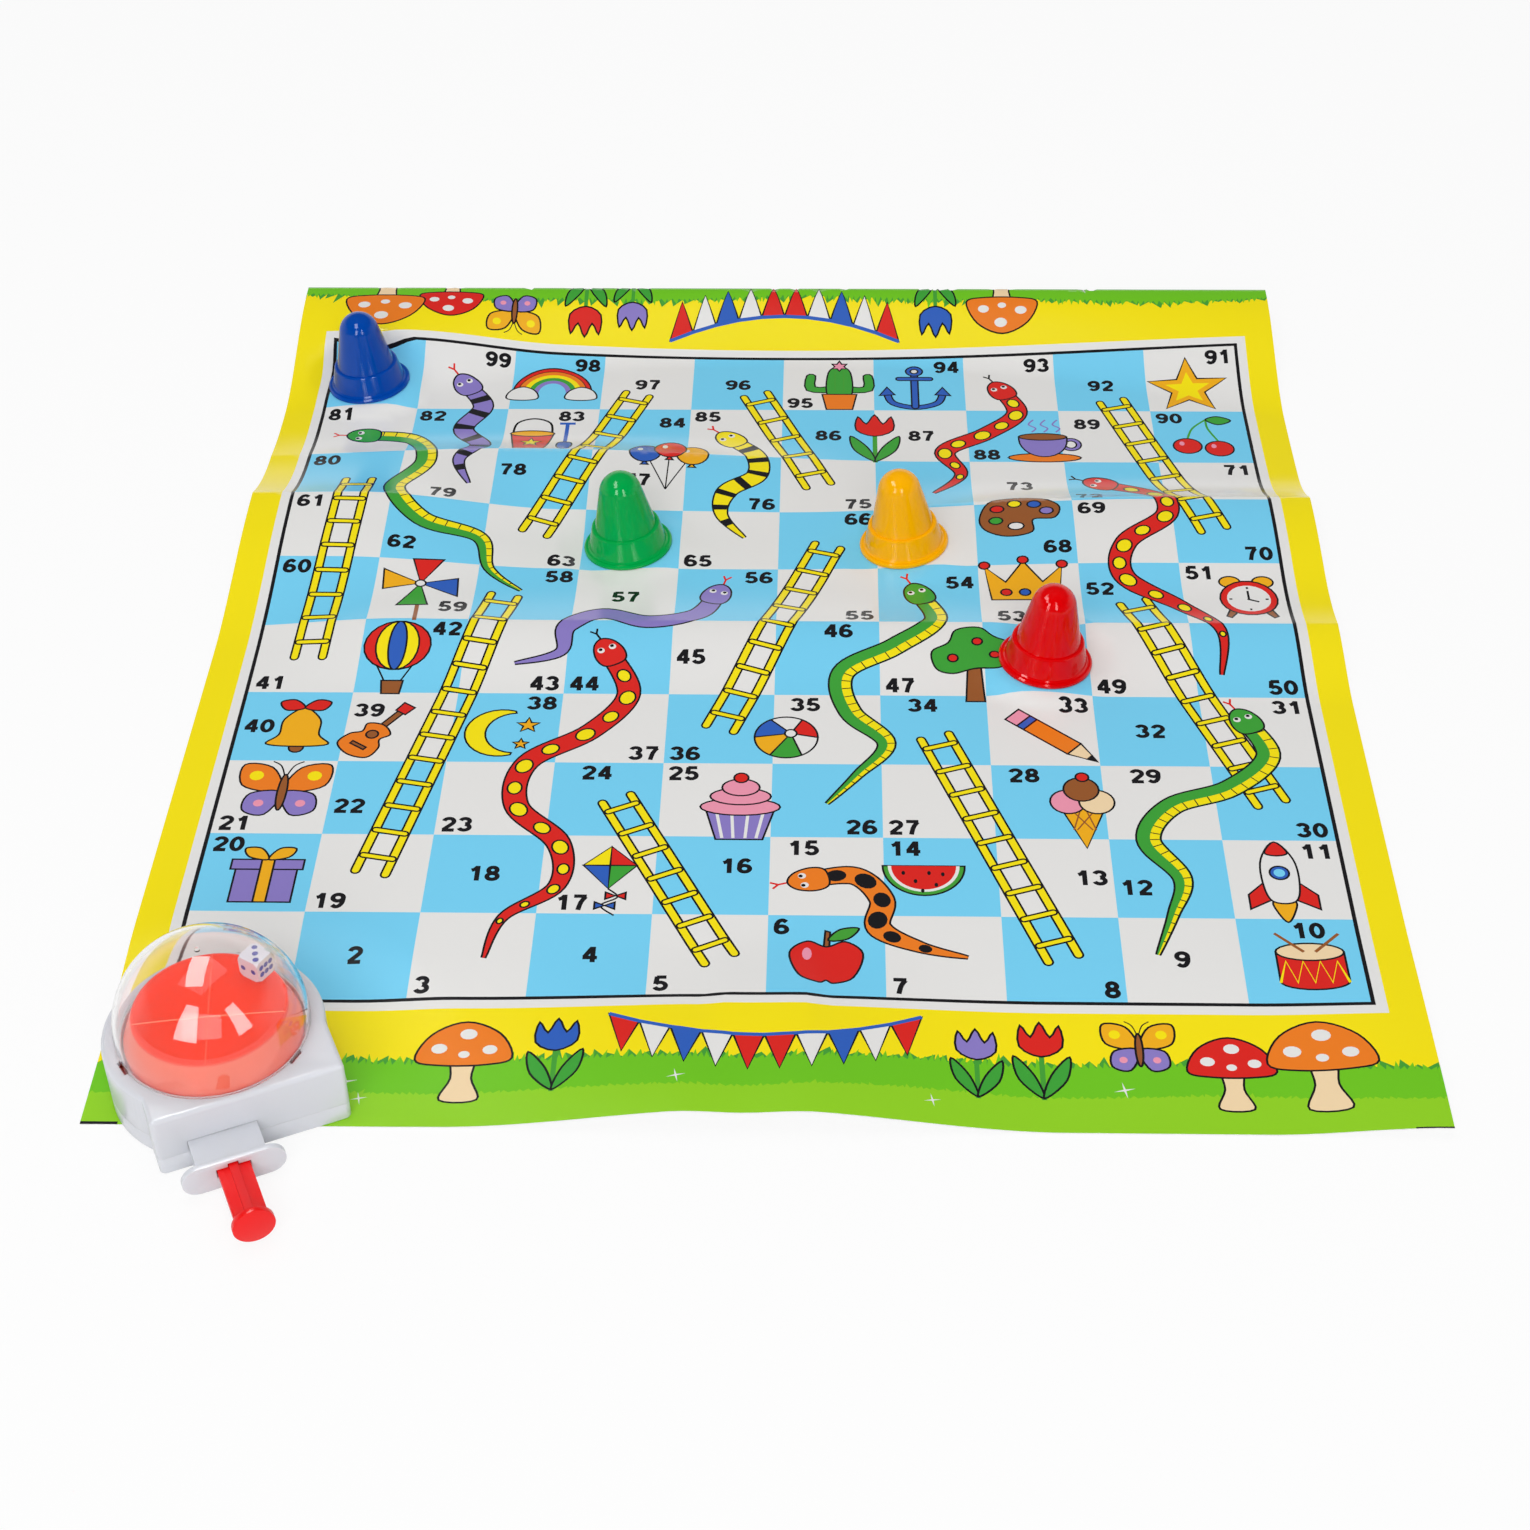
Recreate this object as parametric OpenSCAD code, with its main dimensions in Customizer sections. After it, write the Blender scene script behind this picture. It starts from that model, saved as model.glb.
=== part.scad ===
// Snakes and ladders travel set: a printed film mat, four pawns and a plunger dice popper.
// Millimetres, +Z up. The origin is on the table, under the middle of the whole set.

/* [Mat] */
// Side of one printed square
cell = 40; // [36:1:48]
// Border beside the squares, left and right
side_border = 17.5; // [12:0.5:30]
// Border before and behind the squares
end_border = 56; // [44:1:70]
// Thickness of the printed film
film = 0.3; // [0.2:0.05:0.6]
// Height of the film above the table where it lies loose
lie = 0.2; // [0.1:0.1:1.5]
// Height that the front half floats above that
loft = 2; // [0:0.2:4]
// Height of the crease across the middle
middle_fold = 4.6; // [0:0.2:8]
// Height of the crease in the left half
left_fold = 6; // [0:0.2:10]
// Height of the crease in the right half
right_fold = 8; // [0:0.2:12]
// Height of the hill at the left edge
left_hill = 9; // [0:0.2:12]
// Height of the roll along the back border
back_roll = 16; // [0:0.5:18]
// Height of the lifted front edge
front_lift = 10; // [0:0.5:14]
// Height of the lifted front right corner
corner_lift = 4; // [0:0.2:8]

/* [Pawns] */
// Diameter of the foot rim
pawn_rim_d = 35.8; // [32:0.1:38]
// Thickness of the foot rim
pawn_rim_t = 1.5; // [1:0.1:2.5]
// Height from foot to tip
pawn_h = 34.4; // [28:0.1:40]
// Diameter of the skirt just above the rim
pawn_skirt_d = 31.4; // [28:0.1:33]
// Diameter of the skirt at its shoulder
pawn_shoulder_d = 27.8; // [26:0.1:30]
// Height of the shoulder
pawn_shoulder_z = 10.2; // [7:0.1:13]
// Radius of the round tip
pawn_tip_r = 8.6; // [6:0.1:9]
// Half angle of the upper cone
pawn_taper = 13; // [11:0.5:15]
// Wall of the hollow pawn
pawn_wall = 1.3; // [0.9:0.1:2]

/* [Popper shells] */
// Width of the shells' round top outside the dome
ledge_w = 4.4; // [3.4:0.1:7]
// Depth that the block's left side lies inside the round
left_inset = 7.4; // [4.4:0.1:9.4]
// Depth that the block's right side lies inside the round
right_inset = 1.6; // [1:0.1:4.4]
// Depth that the block's front lies inside the round
front_inset = 2.4; // [0.4:0.1:4.4]
// Height of the closed shells
base_h = 23.5; // [21:0.5:27]
// Height of the lower shell, where the two shells part
split_z = 6.5; // [5:0.5:9]
// Wall of both shells
shell_wall = 1.6; // [1.2:0.1:2]
// Radius of the soft outer edges
edge_r = 1.6; // [1:0.1:2.2]
// Distance of the neck's middle from the dome axis, to the right
neck_x = -7; // [-9:0.5:-6]
// Width of the neck round the plunger
neck_w = 22; // [18:0.5:26]
// Length of the neck from block to flange
neck_l = 11; // [6:0.5:16]
// Roof of the neck above the plunger's rib
neck_roof = 0.9; // [0.6:0.1:2]
// Length of the finger flange
flange_w = 33; // [28:0.5:44]
// Height of the finger flange
flange_h = 11; // [9:0.5:12]
// Thickness of the finger flange
flange_t = 2; // [1.5:0.1:3]

/* [Popper dome and kicker] */
// Outer radius of the clear dome
dome_r = 31; // [28:0.1:34]
// Wall of the clear dome
dome_wall = 1; // [0.8:0.1:1.2]
// Upright rim of the dome below its half ball
dome_rim = 3; // [2.5:0.1:5]
// Depth that the kicker's top edge lies inside its skirt
kicker_draft = 3.6; // [2.6:0.1:5.6]
// Height of the kicker's top edge above the shells
kicker_up = 9; // [7.5:0.1:9.5]
// Crown of the kicker's top disc
kicker_crown = 0.6; // [0.4:0.1:1]
// Gap round the kicker's skirt in the well
kicker_gap = 0.8; // [0.4:0.1:2]
// Wall of the kicker
kicker_wall = 1.2; // [0.8:0.1:1.6]
// Rise of the kicker when the plunger is pressed home
kicker_rise = 2; // [1:0.1:2.3]
// Edge of the die
die_edge = 8; // [7:0.1:8.2]
// Distance of the resting die's middle from the inside of the dome
die_inset = 10; // [9.8:0.1:18]

/* [Plunger] */
// Width of the plunger bar
bar_w = 10.4; // [8:0.1:12]
// Thickness of the plunger bar
bar_t = 3.2; // [2.4:0.1:4]
// Width of the rib along the bar
rib_w = 2.8; // [2:0.1:4]
// Height of the rib above the bar
rib_h = 1.4; // [1:0.1:2]
// Height of the plunger axis above the underside
axis_z = 7; // [6.9:0.1:7.4]
// Diameter of the push button
button_d = 13.4; // [12:0.1:13.6]
// Thickness of the push button
button_t = 2; // [1.5:0.1:3]
// Bare length of the bar between flange and button
bar_out = 22.5; // [18:0.5:26]
// Travel of the plunger
travel = 16; // [10:0.5:16]
// Wire of the return spring
wire_d = 0.6; // [0.4:0.05:0.7]
// Middle diameter of the return spring's curls
curl_d = 4.8; // [4.6:0.1:5.4]
// Curls of the return spring
curls = 8; // [5:1:9]

/* [Places] */
// Dome axis, right of the mat's middle
popper_x = -175; // [-185:1:-150]
// Dome axis, behind the mat's middle
popper_y = -235.5; // [-250:0.5:-225]
// Turn of the popper, its plunger swinging to the right
popper_turn = 24; // [10:1:35]
// Gap under a piece that stands on the film
rest_gap = 0.25; // [0.2:0.05:0.4]
// Clearance of sliding pieces
slide_gap = 0.3; // [0.25:0.05:0.4]
// Clearance of fixed pieces that fit in one another
seat_gap = 0.1; // [0.05:0.05:0.2]

/* [Hidden] */
$fn = 64;
squares = 10;

// Each pawn: squares right of and behind the grid's front left corner, lean to the left in degrees
blue_seat = [0.42, 9.45, 4];
green_seat = [3.47, 6.42, 4.5];
yellow_seat = [6.27, 6.4, 5.5];
red_seat = [7.58, 4.48, -4];
seats = [blue_seat, green_seat, yellow_seat, red_seat];

// The shells' round and block are measured from the dome's axis
shell_r = dome_r + ledge_w;
block_left = shell_r - left_inset;
block_right = shell_r - right_inset;
block_front = shell_r - front_inset;

mat_x = squares / 2 * cell + side_border;
mat_y = squares / 2 * cell + end_border;
stand_z = film + rest_gap;

// Places of the creases, in squares behind the front of the grid
middle_v = 5;
right_v = 7.05;
left_v = 8;
hill_v = 7;
roll_v = squares + 0.8;
back_v = mat_y / cell + squares / 2;
front_v = squares / 2 - mat_y / cell;

function ease(from, to, t) = let (s = min(1, max(0, (t - from) / (to - from)))) s * s * (3 - 2 * s);
function mix(a, b, share) = a + (b - a) * share;
function swell(d, half) = 1 - ease(0, half, abs(d));
// A crease climbs softly on its near side and drops sharply behind
function crease(d, near, far) = d < 0 ? ease(-near, 0, d) : pow(max(0, 1 - d / far), 2);

// Height of the loose film at a place counted in squares from the grid's front left corner
function loose(u, v) =
    lie
    + loft * ease(front_v, 0.5, v) * (1 - ease(6, 8.6, v))
    + middle_fold * crease(v - middle_v, 1.1, 0.9) * ease(-0.4, 1.4, u)
    + left_fold * crease(v - left_v, 1.5, 0.6) * swell(u - 2.3, 4.2)
    + right_fold * crease(v - right_v, 2.2, 0.7) * ease(4.8, 8.8, u)
    + left_hill * crease(v - hill_v, 2.4, 1) * (1 - ease(0.6, 2.8, u))
    + back_roll * crease(v - roll_v, 1 + 0.9 * pow(u / 5 - 1, 2), back_v - roll_v)
    + front_lift * (1 - ease(front_v, 0.7, v)) * (swell(u - 4.9, 2.5) - 0.2 * swell(u - 4.85, 0.6))
    + corner_lift * (1 - ease(front_v, 1, v)) * ease(9, squares + 0.4, u);

function place(uv) = [(uv[0] - squares / 2) * cell, (uv[1] - squares / 2) * cell];
function seat_z(seat) = loose(seat[0], seat[1]);

// Under each pawn the film lies flat with the pawn's lean, and under the popper on the table
seat_margin = 9;
seat_flat = pawn_rim_d / 2 + seat_margin;
seat_fade = 16;
popper_margin = 17;
popper_flat = block_front + popper_margin;
popper_fade = 30;
function settled(z, p, k = 0) =
    k == len(seats) ? z * ease(popper_flat, popper_flat + popper_fade, norm(p - [popper_x, popper_y])) :
    let (
        away = p - place(seats[k]),
        plane = seat_z(seats[k]) + away[0] * tan(seats[k][2])
    )
    settled(mix(plane, z, ease(seat_flat, seat_flat + seat_fade, norm(away))), p, k + 1);
function mat_z(p) = settled(loose(p[0] / cell + squares / 2, p[1] / cell + squares / 2), p);

// The set is moved so that the origin is under the middle of its whole reach
flange_y = -block_front - neck_l - flange_t;
button_y = flange_y - bar_out - button_t;
front_reach = popper_y + neck_x * sin(popper_turn) + button_y * cos(popper_turn)
    - button_d / 2 * sin(popper_turn);
middle_y = -(mat_y + front_reach) / 2;

module on_mat() { translate([0, middle_y, 0]) children(); }
module on_popper() {
    on_mat() translate([popper_x, popper_y, stand_z]) rotate(popper_turn) children();
}

// Lines of the film's faces: along every crease, round every pawn, and evenly between
line_margin = 0.4;
seat_half = pawn_rim_d / 2 + line_margin;
line_step = 0.68 * cell;
line_room = 0.36 * cell;
least_step = 1.5;
function low_half(s) = [for (v = s) if (v < s[floor(len(s) / 2)]) v];
function like_half(s) = [for (v = s) if (v == s[floor(len(s) / 2)]) v];
function high_half(s) = [for (v = s) if (v > s[floor(len(s) / 2)]) v];
function sorted(s) = len(s) < 2 ? s : concat(sorted(low_half(s)), like_half(s), sorted(high_half(s)));
function thinned(s) = [for (i = [0 : len(s) - 1]) if (i == 0 || s[i] - s[i - 1] > least_step) s[i]];
function even(reach, keys) =
    let (count = ceil(2 * reach / line_step))
    [for (i = [0 : count])
        let (v = -reach + 2 * reach * i / count)
        if (i == 0 || i == count || min([for (k = keys) abs(v - k)]) > line_room) v];
function around(axis) = [for (s = seats) for (side = [-1, 0, 1]) place(s)[axis] + side * seat_half];
function inside(s, reach) = [for (v = s) if (abs(v) < reach - least_step) v];
folds_y = [for (v = [middle_v, right_v, left_v, roll_v - 0.4, roll_v, (roll_v + back_v) / 2])
    (v - squares / 2) * cell];
keys_x = inside(around(0), mat_x);
keys_y = inside(concat(around(1), folds_y), mat_y);
lines_x = thinned(sorted(concat(even(mat_x, keys_x), keys_x)));
lines_y = thinned(sorted(concat(even(mat_y, keys_y), keys_y)));

// Film mat, one thin closed sheet over its waves
module play_mat() {
    nx = len(lines_x);
    ny = len(lines_y);
    under = [for (y = lines_y) for (x = lines_x) [x, y, mat_z([x, y])]];
    over = [for (p = under) p + [0, 0, film]];
    layer = nx * ny;
    sheet = [for (j = [0 : ny - 2]) for (i = [0 : nx - 2])
        let (a = j * nx + i, b = a + 1, c = a + nx, d = c + 1)
        each [[a, b, d], [a, d, c], [layer + a, layer + d, layer + b], [layer + a, layer + c, layer + d]]];
    front = [for (i = [0 : nx - 2])
        let (a = i, b = i + 1) each [[a, layer + a, layer + b], [a, layer + b, b]]];
    back = [for (i = [0 : nx - 2])
        let (a = (ny - 1) * nx + i, b = a + 1) each [[a, b, layer + b], [a, layer + b, layer + a]]];
    left = [for (j = [0 : ny - 2])
        let (a = j * nx, b = a + nx) each [[a, b, layer + b], [a, layer + b, layer + a]]];
    right = [for (j = [0 : ny - 2])
        let (a = (j + 1) * nx - 1, b = a + nx) each [[a, layer + a, layer + b], [a, layer + b, b]]];
    color("skyblue") on_mat()
        polyhedron(concat(under, over), concat(sheet, front, back, left, right), convexity = 6);
}

// Outline of a pawn, or of its hollow when drawn in by the wall
tip_steps = 12;
rim_fillet_r = 0.6;
shoulder_fillet_r = 0.7;
cone_foot_r = (pawn_tip_r / cos(pawn_taper))
    + (pawn_h - pawn_tip_r - pawn_shoulder_z) * tan(pawn_taper);
function tip(r, centre_z) = [for (i = [0 : tip_steps])
    let (a = pawn_taper + (90 - pawn_taper) * i / tip_steps) [r * cos(a), centre_z + r * sin(a)]];

module pawn_solid() {
    rotate_extrude()
        polygon(concat(
            [[0, 0], [pawn_rim_d / 2, 0], [pawn_rim_d / 2, pawn_rim_t - rim_fillet_r],
             [pawn_rim_d / 2 - rim_fillet_r, pawn_rim_t], [pawn_skirt_d / 2 + rim_fillet_r, pawn_rim_t],
             [pawn_skirt_d / 2, pawn_rim_t + rim_fillet_r],
             [pawn_shoulder_d / 2, pawn_shoulder_z - shoulder_fillet_r],
             [pawn_shoulder_d / 2 - shoulder_fillet_r * 0.3, pawn_shoulder_z - shoulder_fillet_r * 0.3],
             [pawn_shoulder_d / 2 - shoulder_fillet_r, pawn_shoulder_z],
             [cone_foot_r, pawn_shoulder_z]],
            tip(pawn_tip_r, pawn_h - pawn_tip_r)));
}

module pawn_hollow() {
    inner_tip = pawn_tip_r - pawn_wall;
    rotate_extrude()
        polygon(concat(
            [[0, -1], [pawn_skirt_d / 2 - pawn_wall, -1], [pawn_skirt_d / 2 - pawn_wall, 0],
             [pawn_shoulder_d / 2 - pawn_wall, pawn_shoulder_z - shoulder_fillet_r - pawn_wall],
             [cone_foot_r - pawn_wall, pawn_shoulder_z - pawn_wall]],
            tip(inner_tip, pawn_h - pawn_tip_r)));
}

module pawn(seat) {
    on_mat() translate(concat(place(seat), seat_z(seat) + film + rest_gap / cos(seat[2])))
        rotate([0, -seat[2], 0]) difference() {
            pawn_solid();
            pawn_hollow();
        }
}

module pawn_blue() { color("mediumblue") pawn(blue_seat); }
module pawn_green() { color("seagreen") pawn(green_seat); }
module pawn_yellow() { color("orange") pawn(yellow_seat); }
module pawn_red() { color("firebrick") pawn(red_seat); }

// Plan of the shells: a round well with a square block in front, drawn in by an inset
corner_r = 2.2;
module plan(inset = 0) {
    r = max(0.3, corner_r - inset);
    left = -block_left + inset;
    right = block_right - inset;
    front = -block_front + inset;
    circle(shell_r - inset);
    translate([left + r, front]) square([right - left - 2 * r, -front]);
    translate([left, front + r]) square([right - left, -front - r]);
    for (x = [left + r, right - r]) translate([x, front + r]) circle(r);
}

// The upper shell's outside, with soft edges round its top
module soft_plan(height) {
    r = edge_r;
    left = -block_left;
    right = block_right;
    front = -block_front;
    low = height - r;
    cylinder(r = shell_r, h = low);
    cylinder(r = shell_r - r, h = height);
    translate([0, 0, low]) rotate_extrude() translate([shell_r - r, 0]) circle(r);
    translate([left + r, front + r, 0]) cube([right - left - 2 * r, -front - r, height]);
    translate([left, front + r, 0]) cube([right - left, -front - r, low]);
    translate([left + r, front, 0]) cube([right - left - 2 * r, -front, low]);
    for (x = [left + r, right - r]) {
        translate([x, front + r, 0]) cylinder(r = r, h = low);
        translate([x, front + r, low]) sphere(r);
        translate([x, front + r, low]) rotate([-90, 0, 0]) cylinder(r = r, h = -front - r);
    }
    translate([left + r, front + r, low]) rotate([0, 90, 0]) cylinder(r = r, h = right - left - 2 * r);
}

floor_t = shell_wall;
plate_t = 1.8;
well_lip = 0.6;
well_r = dome_r - dome_wall - well_lip;

// Four corner screws from below
screw_d = 2.2;
screw_head_d = 4.6;
screw_head_h = 1.6;
screw_l = 9;
screw_gap = 0.5;
head_gap = 0.8;
thread_gap = 0.1;
tip_gap = 0.6;
cross_l = 2.4;
cross_w = 0.6;
cross_h = 0.8;
boss_r = 2.8;
boss_cap = 2;
sink_r = 3.6;
sink_h = 2.4;
round_bite = 0.8;
corner_bite = 0.2;
round_screw = shell_r - shell_wall - boss_r + round_bite;
corner_screw = shell_wall + boss_r - corner_bite;
screw_places = [
    [-round_screw * cos(45), round_screw * sin(45)],
    [round_screw * cos(45), round_screw * sin(45)],
    [-block_left + corner_screw, -block_front + corner_screw],
    [block_right - corner_screw, -block_front + corner_screw]];
boss_top = sink_h + screw_l + boss_cap;

// Inner guides: a tube for the kicker's post, and a stop behind the return spring
post_r = 2.3;
tube_wall = 1.6;
tube_r = post_r + slide_gap + tube_wall;
tube_up = 6;
tube_top = split_z + tube_up;
rail_left = neck_x - bar_w / 2;
rail_right = -tube_r - 2 * slide_gap;
rail_x = (rail_left + rail_right) / 2;
rail_w = rail_right - rail_left;
rail_foot = floor_t + slide_gap;
bar_low = axis_z - bar_t / 2;
bar_top = axis_z + bar_t / 2;
shoulder_reach = 2.8;
shoulder_l = 3;
shoulder_y = -block_front + shell_wall + slide_gap;
nose_y = 8;
spring_z = rail_foot + curl_d / 2 + wire_d / 2;
stop_t = 1.8;
stop_room = 2.5;
stop_side = 1;
stop_up = 2;
stop_y = shell_r - shell_wall - stop_t - stop_room;
spring_l = stop_y - nose_y;
pin_gap = 0.5;
pin_r = curl_d / 2 - wire_d / 2 - pin_gap;
nose_pin = 3;
stop_pin = 1.6;

module plunger_slot() {
    x = neck_x - bar_w / 2 - slide_gap;
    y = flange_y - 1;
    long = shoulder_y - y;
    translate([x, y, bar_low - slide_gap]) cube([bar_w + 2 * slide_gap, long, bar_t + 2 * slide_gap]);
    translate([neck_x - rib_w / 2 - slide_gap, y, bar_low])
        cube([rib_w + 2 * slide_gap, long, bar_t + rib_h + slide_gap]);
}

neck_low = 1;
neck_top = bar_top + rib_h + slide_gap + neck_roof;
flange_low = 0.6;
module neck(grow = 0) {
    translate([neck_x - neck_w / 2 - grow, -block_front - neck_l, neck_low])
        cube([neck_w + 2 * grow, neck_l + shell_wall, neck_top - neck_low + grow]);
}

module finger_flange() {
    end_r = flange_h / 2;
    span = flange_w / 2 - end_r;
    translate([neck_x, flange_y + flange_t, end_r + flange_low]) rotate([90, 0, 0])
        linear_extrude(flange_t) {
            square([2 * span, flange_h], center = true);
            for (side = [-1, 1]) translate([side * span, 0]) circle(end_r);
        }
}

// Lower shell: tray, neck, finger flange, screw sinks and inner guides
module popper_lower_shell() {
    color("whitesmoke") on_popper() difference() {
        union() {
            difference() {
                linear_extrude(split_z) plan();
                translate([0, 0, floor_t]) linear_extrude(split_z) plan(shell_wall);
            }
            neck();
            finger_flange();
            for (p = screw_places) translate(p) cylinder(r = sink_r, h = split_z - seat_gap);
            cylinder(r = tube_r, h = tube_top);
            translate([rail_x - curl_d / 2 - stop_side, stop_y, 0])
                cube([curl_d + 2 * stop_side, stop_t, split_z + stop_up]);
            translate([rail_x, stop_y - stop_pin, spring_z]) rotate([-90, 0, 0])
                cylinder(r = pin_r, h = stop_pin);
        }
        plunger_slot();
        translate([0, 0, floor_t]) cylinder(r = post_r + slide_gap, h = tube_top);
        for (p = screw_places) translate(p) {
            translate([0, 0, -1]) cylinder(d = screw_head_d + head_gap, h = sink_h + 1);
            cylinder(d = screw_d + screw_gap, h = split_z + 1);
        }
    }
}

// Upper shell: walls, top plate with the round well, screw bosses and slots for the dome's tabs
tab_w = 6;
tab_first = -48;
tab_angles = [for (i = [0 : 2]) tab_first + 120 * i];
tab_hook = 0.7;
tab_hook_h = 1.4;
module tab_slot() {
    near = sqrt(pow(dome_r - dome_wall, 2) - pow(tab_w / 2, 2)) - seat_gap;
    far = dome_r + tab_hook + seat_gap;
    translate([near, -tab_w / 2 - seat_gap, base_h - plate_t - 1])
        cube([far - near, tab_w + 2 * seat_gap, plate_t + 2]);
}

module popper_upper_shell() {
    inner_h = base_h - plate_t - split_z;
    color("whitesmoke") on_popper() difference() {
        union() {
            translate([0, 0, split_z]) difference() {
                soft_plan(base_h - split_z);
                translate([0, 0, -1]) linear_extrude(inner_h + 1) plan(shell_wall);
            }
            for (p = screw_places) translate([p[0], p[1], split_z])
                cylinder(r = boss_r, h = boss_top - split_z);
        }
        cylinder(r = well_r, h = base_h + 1);
        neck(seat_gap);
        for (a = tab_angles) rotate(a) tab_slot();
        for (p = screw_places) translate(p)
            cylinder(d = screw_d + thread_gap, h = sink_h + screw_l + tip_gap);
    }
}

module popper_screws() {
    color("silver") on_popper() for (p = screw_places) translate([p[0], p[1], sink_h - screw_head_h]) {
        difference() {
            cylinder(d = screw_head_d, h = screw_head_h);
            for (a = [0, 90]) rotate(a) cube([cross_l, cross_w, 2 * cross_h], center = true);
        }
        cylinder(d = screw_d, h = screw_head_h + screw_l);
    }
}

// Clear dome: a half ball on a short rim, with three hooked tabs and the moulding gate on top
dome_z = base_h + dome_rim;
tab_root = 0.5;
hook_low = base_h - plate_t - tab_hook_h - seat_gap;
gate_r = 0.9;
gate_h = 0.5;
module popper_dome() {
    inner_r = dome_r - dome_wall;
    color("azure", 0.4) on_popper() difference() {
        union() {
            translate([0, 0, dome_z]) sphere(dome_r, $fn = 96);
            translate([0, 0, base_h]) cylinder(r = dome_r, h = dome_rim);
            translate([0, 0, dome_z]) cylinder(r = gate_r, h = dome_r + gate_h);
            for (a = tab_angles) rotate(a) tab();
        }
        translate([0, 0, dome_z]) sphere(inner_r, $fn = 96);
        translate([0, 0, hook_low - 1]) cylinder(r = inner_r, h = dome_z - hook_low + 1);
        difference() {
            translate([0, 0, -dome_r]) cylinder(r = 2 * dome_r, h = base_h + dome_r);
            for (a = tab_angles) rotate(a) tab();
        }
    }
}

module tab() {
    inner_r = dome_r - dome_wall - tab_root;
    depth = dome_wall + tab_root;
    intersection() {
        translate([inner_r, -tab_w / 2, hook_low]) {
            cube([depth, tab_w, base_h - hook_low + tab_root]);
            cube([depth + tab_hook, tab_w, tab_hook_h]);
        }
        cylinder(r = dome_r + tab_hook, h = base_h + 1);
    }
}

// Kicker: an upturned tray with a guide post and a foot that rides on the plunger's ramp
kicker_z = base_h + kicker_up;
kicker_skirt_r = well_r - kicker_gap;
kicker_r = kicker_skirt_r - kicker_draft;
skirt_depth = 3;
skirt_turn = 0.5;
kicker_edge = 1.2;
crown_steps = 6;
post_lift = 1;
foot_l = 4;
foot_gap = 0.6;
foot_w = rail_w - 2 * foot_gap;
ramp_slope = kicker_rise / travel;
ramp_drop = 1.2;
ramp_z = axis_z - ramp_drop;
// Half of the kicker's section; the hollow is drawn in by the wall and runs out below
module kicker_outline(inset, below = 0) {
    top = kicker_z - inset;
    foot_r = kicker_skirt_r - inset;
    edge_r = kicker_r - inset;
    flat_r = edge_r - kicker_edge;
    foot_z = base_h - skirt_depth - below;
    polygon(concat(
        [[0, foot_z], [foot_r, foot_z], [foot_r, base_h - skirt_turn],
         [edge_r, top - kicker_edge], [edge_r - kicker_edge * 0.3, top - kicker_edge * 0.3]],
        [for (i = [0 : crown_steps])
            let (x = 1 - i / crown_steps) [flat_r * x, top + kicker_crown * (1 - x * x)]]));
}

// Underside of the foot, just clear of the ramp, at a place before the dome axis
function foot_z(ahead) = ramp_z + slide_gap + ahead * ramp_slope;

module popper_kicker() {
    color("tomato", 0.8) on_popper() {
        difference() {
            rotate_extrude() kicker_outline(0);
            rotate_extrude() kicker_outline(kicker_wall, 1);
        }
        translate([0, 0, floor_t + post_lift]) cylinder(r = post_r, h = kicker_z - floor_t - post_lift);
        translate([rail_x + foot_w / 2, 0, 0]) rotate([90, 0, -90]) linear_extrude(foot_w)
            polygon([[foot_l / 2, foot_z(foot_l / 2)], [foot_l / 2, kicker_z],
                [-foot_l / 2, kicker_z], [-foot_l / 2, foot_z(-foot_l / 2)]]);
    }
}

// Die: a cube with its corners rounded by a ball, and dimpled pips that add up to seven
die_turn = 34;
die_side = 24.5;
die_reach = dome_r - dome_wall - die_inset;
die_ball_r = die_edge * 0.78;
pip_r = 0.75;
pip_step = die_edge * 0.26;
six_row = 0.65;
die_z = kicker_z + kicker_crown + rest_gap + die_edge / 2;
pips = [
    [[0, 0]],
    [[-1, 0], [1, 0]],
    [[-1, -1], [0, 0], [1, 1]],
    [[-1, -1], [-1, 1], [1, -1], [1, 1]],
    [[-1, -1], [-1, 1], [0, 0], [1, -1], [1, 1]],
    [for (row = [-six_row, six_row]) for (x = [-1 : 1]) [x, row]]];
// Turns that bring the top face of the cube to each face: three on top, two and six in front
faces = [[90, 0, 180], [90, 0, -90], [0, 0, 0], [180, 0, 0], [90, 0, 90], [90, 0, 0]];
module popper_die() {
    color("ivory") on_popper()
        rotate(die_side) translate([die_reach, 0, die_z]) rotate(die_turn - die_side)
            difference() {
                intersection() {
                    cube(die_edge, center = true);
                    sphere(die_ball_r);
                }
                for (n = [0 : 5]) rotate(faces[n]) for (p = pips[n])
                    translate([p[0] * pip_step, p[1] * pip_step, (die_edge + pip_r) / 2])
                        sphere(pip_r, $fn = 24);
            }
}

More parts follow.
